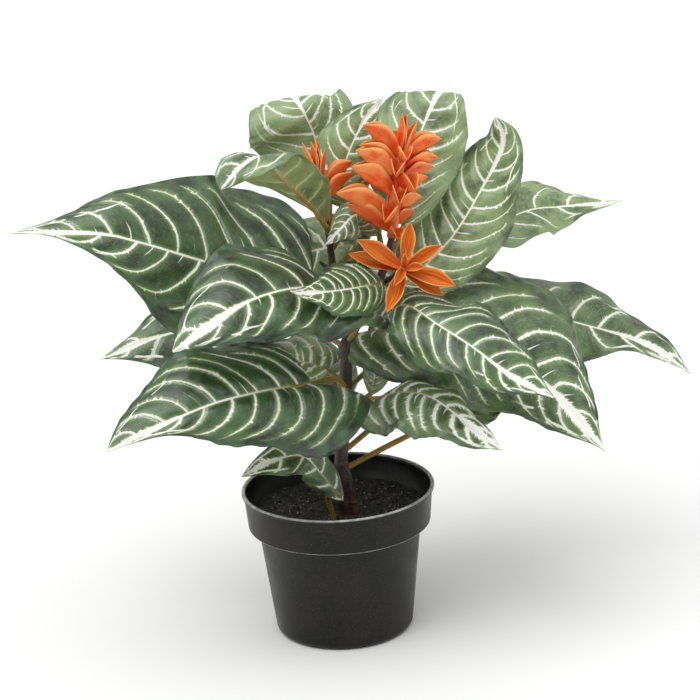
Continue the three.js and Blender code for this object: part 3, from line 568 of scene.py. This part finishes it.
def petiole(leaf):
    """The stalk from its foot to the blade and a little way on under the midrib."""
    frames = [leaf_frame(leaf, np.array([t])) for t in (0.03, 0.14)]
    near, further = (f[0][0] - f[3][0] * PETIOLE_RADIUS * sunk for f, sunk in zip(frames, (0.7, 0.6)))
    radii = [PETIOLE_RADIUS, PETIOLE_RADIUS, 0.6 * PETIOLE_RADIUS]
    return rod([*leaf["stalk"], near, further], radii, PETIOLE_SIDES, PETIOLE_STEPS)


def make_leaf(name, leaf, number):
    marks = MARKS.get(name, PLAIN_MARKS)
    seed = 0.31 * number
    grid, fields = blade(leaf, marks, seed % 0.3)
    rows, columns = grid.shape[:2]
    thickness = BLADE_THICKNESS + (EDGE_THICKNESS - BLADE_THICKNESS) * fields["out"] ** 4
    thickness = thickness + RIB_HEIGHT * np.exp(-((fields["away"] / RIB_SPREAD) ** 2)) * (1 - fields["t"])
    points, faces, upper = thick(grid, thickness)
    corner = faces % (rows * columns)
    right = (corner % columns).max(axis=1) > BLADE_COLUMNS

    stalk_points, stalk_faces = petiole(leaf)
    faces_all = faces.tolist() + [[k + len(points) for k in f] for f in stalk_faces]
    which = np.zeros(len(faces_all), int)
    which[upper:2 * upper] = 1
    which[len(faces):] = 2
    obj = piece(
        "blade_" + name, np.concatenate([points, stalk_points]), faces_all,
        [LOOKS["leaf_top"], LOOKS["leaf_under"], LOOKS["petiole"]], "leaf", which,
    )
    spare = np.zeros((sum(len(f) for f in stalk_faces), 3))
    for attribute, values in blade_tags(fields, corner, right, marks, seed).items():
        tag(obj, attribute, np.concatenate([values.reshape(-1, 3), spare]))
    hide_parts("leaf_" + name)


# Blooms


def bract_grid(root, along, facing, length, half, depth):
    """A pointed, boat-shaped bract's middle surface."""
    side = unit(np.cross(along, facing))
    normal = unit(np.cross(side, along))
    t = np.linspace(0, 1, BRACT_ROWS)[:, None]
    v = np.linspace(-1, 1, 2 * BRACT_COLUMNS + 1)
    taper = np.sin(np.clip((1 - t) / BRACT_TAPER, 0, 1) * math.pi / 2) ** 0.9
    swell = (0.3 + 1.9 * t - 1.2 * t**2) * taper
    ridges = 0.15 * np.cos(9 * v + 2 * t) * np.sin(math.pi * t)
    rise = BRACT_CURL * length * t**2 + np.abs(v) ** 1.35 * depth * swell
    across = v * np.maximum(0.15, half * swell * (1 + 0.25 * (1 - v**2))) + np.sign(v) * ridges
    grid = root + along * (length * t)[..., None] + side * across[..., None]
    return grid + normal * rise[..., None], t, v


def ray(along, turn, rise):
    """The direction at a turn about the spindle, raised along it, in degrees."""
    turn, rise = math.radians(turn), math.radians(rise)
    across = unit(np.array([1.0, 0, 0]) - along * along[0])
    flat = across * math.cos(turn) + np.cross(along, across) * math.sin(turn)
    return flat * math.cos(rise) + along * math.sin(rise)


def make_bloom(name, foot, top, core, bracts):
    foot, top = np.array(foot, float), np.array(top, float)
    along = unit(top - foot)
    spindle = [foot + (top - foot) * k / (len(core) - 1) for k in range(len(core))]
    points, faces = rod(spindle, core, SPINDLE_SIDES, SPINDLE_STEPS)
    points = [points]
    tags = [(0, 0, 0)] * sum(len(f) for f in faces)
    start = len(points[0])
    for number, (share, turn, rise, length, half, depth) in enumerate(bracts):
        root = foot + (top - foot) * share + ray(along, turn, 0) * BRACT_ROOT
        outward, inward = ray(along, turn, rise), ray(along, turn, rise + 90)
        grid, t, v = bract_grid(root, outward, inward, length, half, depth)
        flank = np.broadcast_to(v, grid.shape[:2])
        long = np.broadcast_to(t, grid.shape[:2])
        thickness = BRACT_THICKNESS * (1 - 0.6 * np.abs(flank) ** 3) * (1 - 0.5 * long**3)
        sheet, sheet_faces, upper = thick(grid, thickness)
        corner = sheet_faces % grid[..., 0].size
        inner = np.zeros(sheet_faces.shape)
        inner[:upper] = 1
        values = np.stack([long.ravel()[corner], flank.ravel()[corner], inner * 0.5 + number * 2], axis=-1)
        tags += values.reshape(-1, 3).tolist()
        faces += (sheet_faces + start).tolist()
        points.append(sheet)
        start += len(sheet)
    obj = piece("bracts_" + name, np.concatenate(points), faces, [LOOKS["bract_" + name]], "bloom")
    tag(obj, "bract", tags)
    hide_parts("bloom_" + name)


# Pot, soil and stem


def ring(radius, sides, height):
    """Points round the upright axis, at heights that a function of x and y gives."""
    angles = np.linspace(0, 2 * math.pi, sides, endpoint=False)
    flat = [(radius * math.cos(a), radius * math.sin(a)) for a in angles]
    return [(x, y, height(x, y)) for x, y in flat]


def turned_solid(first, rings, last):
    """Points and faces of a solid of rings between its lowest and its last point."""
    sides = len(rings[0])
    points = [first, *[p for r in rings for p in r], last]
    end = len(points) - 1
    faces = walls(1, sides, len(rings) - 1)
    for s in range(sides):
        n = (s + 1) % sides
        faces += [(0, 1 + n, 1 + s), (end, end - sides + s, end - sides + n)]
    return points, faces


def pot_profile():
    """Radii and heights from the bottom's edge over the rim to the inner floor."""
    high, lip, step = POT_HEIGHT, POT_HEIGHT - RIM_LIP, POT_HEIGHT - BAND_HEIGHT
    low, top, band, rim = BODY_BOTTOM_RADIUS, BODY_TOP_RADIUS, BAND_BOTTOM_RADIUS, RIM_RADIUS
    round_end = [
        (low - BOTTOM_ROUNDING * (1 - math.sin(a)), BOTTOM_ROUNDING * (1 - math.cos(a)))
        for a in np.linspace(0, math.pi / 2, 9)
    ]
    return [
        *round_end,
        (top - 0.1, step - 2), (top + 0.6, step - 0.9), (band - 0.8, step - 0.6),
        (band - 0.15, step - 0.2), (band, step + 0.6), (band + 0.1, step + 1.6),
        (BAND_TOP_RADIUS - 0.1, lip - 0.8), (BAND_TOP_RADIUS, lip - 0.2),
        (rim - 0.4, lip + 0.1), (rim, lip + 0.6), (rim, high - 0.9), (rim - 0.3, high - 0.3),
        (rim - 1.2, high), (rim - 2.1, high - 0.3), (rim - 2.6, high - 0.9),
        (BAND_TOP_RADIUS - POT_WALL, lip), (band - POT_WALL, step + 1.4),
        (top - POT_WALL, step + 0.6), (low - POT_WALL, BOTTOM_ROUNDING),
        (low - BOTTOM_ROUNDING, POT_FLOOR),
    ]


def make_pot():
    rings = [ring(r, POT_SIDES, lambda x, y, level=z: level) for r, z in pot_profile()]
    shape = turned_solid((0, 0, 0), rings, (0, 0, POT_FLOOR))
    pot = piece("plastic_pot", *shape, [LOOKS["pot"]], "pot")
    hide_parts("pot")


def soil_height(x, y):
    """Soft waves and crumbly noise, a little higher at the back."""
    grain = math.sin(0.31 * x + 1.3) * math.cos(0.27 * y + 0.4)
    grain += 0.6 * math.sin(0.12 * x - 0.19 * y)
    fine = 0.9 * noise.noise(Vector((x, y, 3)) * 0.45) + 0.8 * noise.noise(Vector((x, y, 9)) * 1.1)
    return SOIL_LEVEL + SOIL_BACK_RISE * y / RIM_RADIUS + SOIL_ROUGHNESS * grain + fine


def make_soil():
    """A rough disc of soil in the pot's band, just clear of its wall and step."""
    edge = BAND_BOTTOM_RADIUS - POT_WALL - SOIL_GAP
    foot = POT_HEIGHT - BAND_HEIGHT + SOIL_FOOT
    rings = [ring(edge, SOIL_SIDES, lambda x, y: foot)]
    rings += [ring(edge * k / SOIL_RINGS, SOIL_SIDES, soil_height) for k in range(SOIL_RINGS, 0, -1)]
    shape = turned_solid((0, 0, foot), rings, (0, 0, soil_height(0, 0)))
    obj = piece("potting_mix", *shape, [LOOKS["soil"]], "soil")
    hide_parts("soil")


CRUMB = [(1, 0, 0), (-1, 0, 0), (0, 1, 0), (0, -1, 0), (0, 0, 1), (0, 0, -1)]
CRUMB_FACES = [(0, 2, 4), (2, 1, 4), (1, 3, 4), (3, 0, 4), (2, 0, 5), (1, 2, 5), (3, 1, 5), (0, 3, 5)]


def make_crumbs(name, count, sizes, look):
    """Eight-sided crumbs lying all over the soil."""
    smallest, largest = sizes
    reach = BAND_BOTTOM_RADIUS - POT_WALL - CRUMB_CLEARANCE
    points, faces = [], []
    for _ in range(count):
        radius = reach * math.sqrt(random.random())
        angle = random.random() * 2 * math.pi
        x, y = radius * math.cos(angle), radius * math.sin(angle)
        size = smallest + (largest - smallest) * random.random() ** 3
        centre = np.array([x, y, soil_height(x, y) + 0.2 * size])
        turn = np.linalg.qr(random.normal(size=(3, 3)))[0]
        turn[:, 0] *= np.sign(np.linalg.det(turn))
        corners = np.array(CRUMB) * size * random.uniform(0.5, 1.1, (6, 1))
        faces += [tuple(k + len(points) for k in f) for f in CRUMB_FACES]
        points += (centre + corners @ turn.T).tolist()
    piece(name, points, faces, [LOOKS[look]], "soil", smooth_faces=False)


def make_stem():
    """The stem's lengths fused by voxels, with bark and the rings of old nodes."""
    points, faces = [], []
    for path, radii in STEM_PARTS:
        new, new_faces = rod(path, radii, STEM_SIDES, STEM_STEPS)
        faces += [tuple(k + len(points) for k in f) for f in new_faces]
        points += new.tolist()
    rough = piece("stem_rough", points, faces, [], "stem")
    remesh = rough.modifiers.new("fuse", "REMESH")
    remesh.mode = "VOXEL"
    remesh.voxel_size = STEM_VOXEL * MM
    soften = rough.modifiers.new("soften", "SMOOTH")
    soften.factor, soften.iterations = 0.6, 4
    fused = rough.evaluated_get(bpy.context.evaluated_depsgraph_get()).to_mesh()
    corners = np.array([v.co for v in fused.vertices]) / MM
    normals = np.array([v.normal for v in fused.vertices])
    bark = [0.22 * noise.noise(Vector((0.5 * x, 0.5 * y, 0.12 * z))) for x, y, z in corners]
    bark = np.array(bark) + 0.12 * np.array([noise.noise(Vector(p) * 0.9) for p in corners])
    along = (corners[:, 2] + NODE_START) % NODE_SPACING - NODE_SPACING / 2
    node_rings = NODE_HEIGHT * np.exp(-(along / NODE_SPREAD) ** 2)
    corners = corners + normals * (bark + node_rings)[:, None]
    polygons = [tuple(p.vertices) for p in fused.polygons]
    bpy.data.objects.remove(rough)
    obj = piece("bark_stem", corners, polygons, [LOOKS["stem"]], "stem")
    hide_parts("stem")


# Looks


class Value:
    """What a node gives. A sum with it adds a maths node."""

    def __init__(self, nodes, socket):
        self.nodes, self.socket = nodes, socket

    def __add__(self, other):
        return self.nodes.calc("ADD", self, other)

    def __sub__(self, other):
        return self.nodes.calc("SUBTRACT", self, other)

    def __mul__(self, other):
        return self.nodes.calc("MULTIPLY", self, other)

    def __abs__(self):
        return self.nodes.calc("ABSOLUTE", self)

    def ease(self, low, high, start=0.0, end=1.0, kind="SMOOTHSTEP"):
        """From start to end while this goes from low to high."""
        names = ("Value", "From Min", "From Max", "To Min", "To Max")
        inputs = dict(zip(names, (self, low, high, start, end)))
        return self.nodes.node("MapRange", inputs, interpolation_type=kind)


class Nodes:
    """A node tree. Its methods add nodes and return what these give."""

    def __init__(self, tree):
        self.tree = tree

    def node(self, kind, inputs, output=0, **settings):
        made = self.tree.nodes.new("ShaderNode" + kind)
        for key, value in settings.items():
            setattr(made, key, value)
        for key, value in inputs.items():
            self.feed(made.inputs[key], value)
        return Value(self, made.outputs[output])

    def feed(self, socket, value):
        if isinstance(value, Value):
            self.tree.links.new(value.socket, socket)
        else:
            socket.default_value = rgb(*value) if isinstance(value, tuple) else value

    def calc(self, operation, *values):
        return self.node("Math", dict(enumerate(values)), operation=operation)

    def most(self, a, b):
        return self.calc("MAXIMUM", a, b)

    def mix(self, factor, a, b):
        return self.node("Mix", {0: factor, 6: a, 7: b}, 2, data_type="RGBA")

    def noise(self, vector, scale, detail=2.0, roughness=0.5):
        inputs = dict(Vector=vector, Scale=scale, Detail=detail, Roughness=roughness)
        return self.node("TexNoise", inputs)

    def vector(self, x, y, z):
        return self.node("CombineXYZ", dict(X=x, Y=y, Z=z))

    def parts(self, vector):
        split = self.node("SeparateXYZ", dict(Vector=vector)).socket.node
        return [Value(self, socket) for socket in split.outputs]

    def draws(self, x, y, z):
        """Three random values from 0 to 1 that belong to a place."""
        return self.parts(self.node("TexWhiteNoise", dict(Vector=self.vector(x, y, z)), 1))


class Look(Nodes):
    """A material made of nodes."""

    def __init__(self, name, **constants):
        self.material = bpy.data.materials.new(name)
        self.material.use_nodes = True
        super().__init__(self.material.node_tree)
        self.shader = self.tree.nodes["Principled BSDF"]
        for socket, value in constants.items():
            self.shader.inputs[socket.replace("_", " ")].default_value = value

    def tagged(self, name):
        return self.parts(self.node("Attribute", {}, 1, attribute_name=name))

    def place(self):
        return self.node("TexCoord", {}, 3)

    def bump(self, height, strength, distance):
        normal = self.node("Bump", dict(Height=height, Strength=strength, Distance=distance))
        self.feed(self.shader.inputs["Normal"], normal)

    def finish(self, colour, roughness):
        self.feed(self.shader.inputs["Base Color"], colour)
        self.feed(self.shader.inputs["Roughness"], roughness)
        return self.material


def rgb(r, g, b):
    """An sRGB colour of 0 to 255 as linear light."""
    parts = [c / 255 for c in (r, g, b)]
    return (*[c / 12.92 if c <= 0.04045 else ((c + 0.055) / 1.055) ** 2.4 for c in parts], 1.0)


def side_veins(look, number, pitch, out, lane, bold, seed):
    """The nearest side vein's distance, how far inside its edge, its end and its noise."""
    cell = look.calc("FLOOR", number)
    part = look.calc("FRACT", number)
    chance = look.draws(cell, seed, 0.0)
    offset = part - chance[0].ease(0, 1, 0.42, 0.58)
    distance = abs(offset) * pitch
    flank = look.calc("SIGN", offset) * 3.7
    slanted = lane - distance * 0.8
    track = look.vector(slanted, cell * 5.1 + flank, seed)
    ragged = look.noise(track, 0.9, 3.0, 0.7)
    thorns = look.noise(track, 0.55, 0.0).ease(0.6, 0.82) * 1.3
    thin = out.ease(0.05, 0.95, 1.1, 0.45)
    width = bold * thin * chance[1].ease(0, 1, 0.75, 1.15)
    width = width * ragged.ease(0.3, 0.7, 0.55, 1.3)
    width = width + thorns * bold * out.ease(0.1, 0.3)
    last = chance[2].ease(0, 1, 0.78, 0.93)
    ending = (out - last).ease(-0.08, 0.0, 1.0, 0.0)
    return distance, width - distance, ending, ragged


def short_veins(look, number, pitch, out, bold, seed):
    """Thin veins halfway between the side veins, each of its own length."""
    half_way = number + 0.5
    chance = look.draws(look.calc("FLOOR", half_way), seed, 4.0)
    offset = abs(look.calc("FRACT", half_way) - 0.5)
    left = chance[0].ease(0.55, 1.0, 0.0, 0.35) - out
    width = look.calc("MINIMUM", left * 3.0, bold * 0.45)
    drawn = (width - offset * pitch).ease(-0.2, 0.2)
    return drawn * left.ease(0.0, 0.03)


def vein_loops(look, place, sway, ragged, t, out, half, bold):
    """Broken loops along the margin, near the tip, that join the side veins."""
    ring_place = sway.ease(0.3, 0.7, 0.6, 0.76)
    ring = abs(out - ring_place) * half
    width = bold * ragged.ease(0.3, 0.7, 0.25, 0.9)
    loop = (width - ring).ease(-0.2, 0.2)
    broken = look.noise(place, 70.0, 0.0).ease(0.38, 0.46)
    return loop * t.ease(0.62, 0.7) * t.ease(0.93, 0.97, 1.0, 0.0) * broken


def rib_inside(look, run, away, rib_half, seed):
    """How far inside the midrib's torn edge."""
    torn = look.vector(run - away * 0.7, seed, 0.0)
    tear = look.noise(torn, 0.8, 3.0, 0.7).ease(0.4, 0.75)
    width = rib_half + tear * (rib_half * 0.9 - 0.35)
    return width - away


def blade_green(look, colours, place, number, distance, out, lane, tone, seed):
    """The mottled and flecked green between the veins, and its two noises."""
    inside = distance.ease(0.8, 3.5) * out.ease(0.75, 0.95, 1.0, 0.15)
    blotch = look.noise(place, 48.0, 3.0, 0.6)
    streak = look.vector(number * 22.0, lane * 0.2, seed)
    fleck = look.noise(streak, 1.0, 3.0, 0.65).ease(0.48, 0.7)
    grain = look.noise(place, 600.0, 3.0, 0.6)
    green = look.mix(blotch.ease(0.35, 0.65), colours["dark"], colours["mid"])
    # The tone lightens the green: partly the leaf's own green, partly painted light on the leaves high up.
    lighter = (tone + 0.06) * blotch.ease(0.3, 0.7, 0.25, 1.5)
    lighter = lighter * distance.ease(1.0, 7.0, 1.3, 0.75)
    green = look.mix(lighter, green, colours["light"])
    flecks = fleck * inside * (tone * 0.6 + 0.2)
    green = look.mix(flecks, green, colours["fleck"])
    green = look.mix(grain.ease(0.35, 0.8, 0.0, 0.2), green, colours["dark"])
    return green, blotch, grain


def leaf_look(name, colours, vein_strength, rib_end, **constants):
    """Pale veins and a midrib with halos on a mottled blade."""
    look = Look(name, **constants)
    number, pitch, away = look.tagged("vein")
    t, out, half = look.tagged("blade")
    rib_half, run, lane = look.tagged("rib")
    bold, tone, seed = look.tagged("leaf")
    place = look.place()
    sway = look.noise(place, 38.0, 1.0)
    number = number + (sway - 0.5) * 0.3

    distance, margin, ending, ragged = side_veins(look, number, pitch, out, lane, bold, seed)
    side = margin.ease(-0.25, 0.25) * ending
    halo = margin.ease(-2.6, 0.2) * ending
    short = short_veins(look, number, pitch, out, bold, seed)
    loops = vein_loops(look, place, sway, ragged, t, out, half, bold)
    veins = look.most(look.most(side, short), loops)
    rib_margin = rib_inside(look, run, away, rib_half, seed)
    rib = rib_margin.ease(-0.25, 0.25)
    halo = look.most(halo, rib_margin.ease(-2.2, 0.2))

    green, blotch, grain = blade_green(look, colours, place, number, distance, out, lane, tone, seed)
    green = look.mix(halo * 0.62, green, colours["halo"])
    pale = look.mix(out.ease(0.6, 0.95), colours["vein"], colours["vein_end"])
    rib_colour = look.mix(t.ease(0.16 * rib_end, rib_end), colours["rib"], colours["vein"])
    colour = look.mix(veins * vein_strength, green, pale)
    colour = look.mix(rib, colour, rib_colour)
    drawn = look.most(veins, rib)
    height = grain * 0.25 - drawn * 0.5
    look.bump(height + blotch * 0.5, 0.5, 0.0005)
    return look.finish(colour, (drawn * 0.4 + grain).ease(0.3, 1.0, 0.3, 0.55))


def bract_look(name, pale, ochre):
    """Orange bracts, redder outside and at their roots, ochre inside, with fine fibres; one flank of each,
    picked at random, is painted darker red as painted shade.
    """
    look = Look(name, Specular_IOR_Level=0.35)
    t, flank, number = look.tagged("bract")
    edge = abs(flank)
    inner = look.calc("FRACT", number * 0.5) * 4.0
    chance = look.draws(look.calc("FLOOR", number * 0.5), 1.0, 2.0)
    fibre = look.noise(look.vector(flank * 7.0, t * 1.2, number), 1.0, 3.0, 0.6)
    cloud = look.noise(look.place(), 110.0, 2.0)
    # Painted shade: one flank of each bract, picked at random, is painted darker red, as if its fold were
    # shaded on that side.
    shaded_side = (chance[1].ease(0.4, 0.6) - 0.5) * 2.0
    shaded_flank = (flank * shaded_side).ease(-0.1, 0.5, 0.0, 0.55)
    body = look.mix(t.ease(0.05, 0.45), (196, 40, 6), (255, 92, 24))
    body = look.mix(t.ease(0.4, 1.0, 0.0, 0.75), body, (255, 156, 88))
    body = look.mix(fibre.ease(0.42, 0.6, 0.0, 0.7), body, (236, 58, 10))
    body = look.mix(cloud.ease(0.38, 0.62, 0.0, pale), body, (255, 172, 98))
    body = look.mix(chance[0].ease(0, 1, 0.0, 0.4), body, (255, 126, 52))
    body = look.mix(shaded_flank, body, (226, 58, 14))
    aged = (t + cloud * 0.6).ease(0.1, 0.9, 0.5 * ochre, ochre)
    body = look.mix(aged, body, (200, 142, 66))
    hollow = inner * (t + fibre * 0.3).ease(0.15, 0.7, 0.5, 0.85)
    inside = look.mix(fibre.ease(0.4, 0.6), (236, 146, 48), (206, 88, 20))
    # The ochre inside is weaker on the flank with painted shade.
    body = look.mix(hollow * shaded_flank.ease(0.0, 0.5, 1.0, 0.45), body, inside)
    rim = edge.ease(0.72, 1.0) * t.ease(0.1, 0.5)
    body = look.mix(rim * 0.85, body, (255, 190, 112))
    look.bump(fibre + cloud * 0.4, 0.4, 0.0005)
    return look.finish(body, fibre.ease(0.2, 0.8, 0.34, 0.5))


def plain_look(name, first, second, scale, bump, distance, rough):
    """Two mottled colours with a grain of a strength and height, in metres, in the
    surface, and the least and most roughness."""
    look = Look(name)
    place = look.place()
    large = look.noise(place, scale, 4.0, 0.6)
    small = look.noise(place, scale * 7, 3.0, 0.6)
    mottle = large * 0.6 + small * 0.4
    look.bump(large * 0.4 + small, bump, distance)
    colour = look.mix(mottle.ease(0.35, 0.65), first, second)
    return look.finish(colour, small.ease(0.2, 0.8, *rough))


def pot_look():
    """Black plastic, dusty, with light grey painted highlights along its lip and the band's lower edge."""
    look = Look("pot", Specular_IOR_Level=0.28)
    place = look.place()
    height = look.parts(place)[2]
    cloud = look.noise(place, 32.0, 5.0, 0.65)
    dust = look.noise(place, 900.0, 2.0, 0.6)
    colour = look.mix(cloud.ease(0.35, 0.7), (4, 4, 4), (30, 27, 24))
    colour = look.mix(dust.ease(0.55, 0.8, 0.0, 0.6), colour, (70, 67, 62))
    # Painted highlight: light grey bands along the lip and the band's lower edge, broken up by noise.
    lip = height.ease(LIP_HIGHLIGHT[0] * MM, LIP_HIGHLIGHT[1] * MM)
    foot = abs(height - STEP_HIGHLIGHT * MM)
    painted_highlight = look.most(lip, foot.ease(0.0001, 0.0006, 0.8, 0.0))
    painted_highlight = painted_highlight * look.noise(place, 150.0, 3.0, 0.6).ease(0.3, 0.65, 0.4, 0.9)
    colour = look.mix(painted_highlight, colour, (196, 196, 194))
    look.bump(cloud * 0.5 + dust, 0.15, 0.0003)
    return look.finish(colour, cloud.ease(0.3, 0.7, 0.28, 0.46))


LOOKS = dict(
    leaf_top=leaf_look("leaf_top", dict(
        dark=(8, 35, 13), mid=(40, 83, 35), light=(140, 162, 114), fleck=(166, 188, 122),
        halo=(128, 158, 86), vein=(246, 247, 238), vein_end=(224, 234, 196), rib=(190, 174, 146),
    ), vein_strength=1.0, rib_end=0.5, Specular_IOR_Level=0.7, Sheen_Weight=0.1, Sheen_Roughness=0.4),
    leaf_under=leaf_look("leaf_under", dict(
        dark=(88, 104, 52), mid=(122, 134, 78), light=(146, 158, 106), fleck=(172, 182, 128),
        halo=(160, 172, 112), vein=(212, 216, 172), vein_end=(186, 198, 146), rib=(170, 112, 34),
    ), vein_strength=0.6, rib_end=1.1, Specular_IOR_Level=0.35),
    petiole=plain_look("petiole", (112, 112, 42), (180, 136, 52), 70.0, 0.3, 0.0004, (0.35, 0.55)),
    bract_cone=bract_look("bract_cone", pale=0.8, ochre=0.0),
    bract_spike=bract_look("bract_spike", pale=0.7, ochre=0.05),
    bract_star=bract_look("bract_star", pale=0.75, ochre=0.6),
    stem=plain_look("stem", (26, 17, 16), (92, 70, 62), 130.0, 0.6, 0.0006, (0.35, 0.6)),
    soil=plain_look("soil", (20, 20, 19), (72, 70, 66), 260.0, 0.9, 0.001, (0.8, 1.0)),
    speck=plain_look("speck", (140, 138, 130), (200, 196, 188), 400.0, 0.5, 0.0005, (0.8, 1.0)),
    pot=pot_look(),
    floor=plain_look("floor", (241, 241, 241), (242, 242, 242), 3.0, 0.0, 0.0005, (0.9, 1.0)),
)


# Stage


def make_floor():
    reach = FLOOR_SIZE / 2
    corners = [(-reach, -reach, 0), (reach, -reach, 0), (reach, reach, 0), (-reach, reach, 0)]
    mesh = bpy.data.meshes.new("floor")
    mesh.from_pydata(corners, [], [(0, 1, 2, 3)])
    mesh.materials.append(LOOKS["floor"])
    floor = bpy.data.objects.new("floor", mesh)
    bpy.context.scene.collection.objects.link(floor)


def make_sky():
    """White from all sides, dimmer towards the ground and behind the camera."""
    world = bpy.data.worlds.new("studio")
    world.use_nodes = True
    sky = Nodes(world.node_tree)
    direction = sky.parts(sky.node("TexCoord", {}))
    upwards = direction[2].ease(0, 1, SKY_LOW, SKY_HIGH, "LINEAR")
    behind = direction[1].ease(*BEHIND_SPAN, SKY_BEHIND, 1.0, "LINEAR")
    background = world.node_tree.nodes["Background"]
    sky.feed(background.inputs["Strength"], upwards * behind)
    background.inputs["Color"].default_value = (1.0, 1.0, 1.0, 1.0)
    bpy.context.scene.world = world


def make_lamp(name, towards, strength, angle):
    """A soft light from far away, so that the floor is lit evenly."""
    light = bpy.data.lights.new(name, "SUN")
    light.energy, light.angle = strength, math.radians(angle)
    obj = bpy.data.objects.new(name, light)
    obj.rotation_euler = Vector(towards).to_track_quat("Z", "Y").to_euler()
    bpy.context.scene.collection.objects.link(obj)


def make_camera():
    """The photo's camera: it looks down by its pitch and is rolled about its view."""
    data = bpy.data.cameras.new("camera")
    data.sensor_width = SENSOR
    data.lens = SENSOR * FOCAL_SHARE
    camera = bpy.data.objects.new("camera", data)
    pitch, roll = math.radians(CAMERA_PITCH), math.radians(CAMERA_ROLL)
    right, down = Vector((1, 0, 0)), Vector((0, -math.sin(pitch), -math.cos(pitch)))
    image_right = math.cos(roll) * right + math.sin(roll) * down
    image_down = -math.sin(roll) * right + math.cos(roll) * down
    backward = -Vector((0, math.cos(pitch), -math.sin(pitch)))
    turned = Matrix((image_right, -image_down, backward)).transposed()
    camera.matrix_world = Matrix.Translation(CAMERA_PLACE) @ turned.to_4x4()
    bpy.context.scene.collection.objects.link(camera)
    bpy.context.scene.camera = camera
    bpy.context.scene.view_settings.view_transform = "Standard"


# The plant and its stage
for index, (leaf_name, leaf_shape) in enumerate(LEAVES.items()):
    make_leaf(leaf_name, leaf_shape, index)

for bloom_name, bloom_shape in BLOOMS.items():
    make_bloom(bloom_name, **bloom_shape)

make_pot()
make_soil()
make_crumbs("soil_crumbs", GRAINS, GRAIN_SIZES, "soil")
make_crumbs("soil_specks", SPECKS, SPECK_SIZES, "speck")
make_stem()

make_floor()
make_sky()
for lamp_name, lamp_shape in LAMPS.items():
    make_lamp(lamp_name, **lamp_shape)
make_camera()
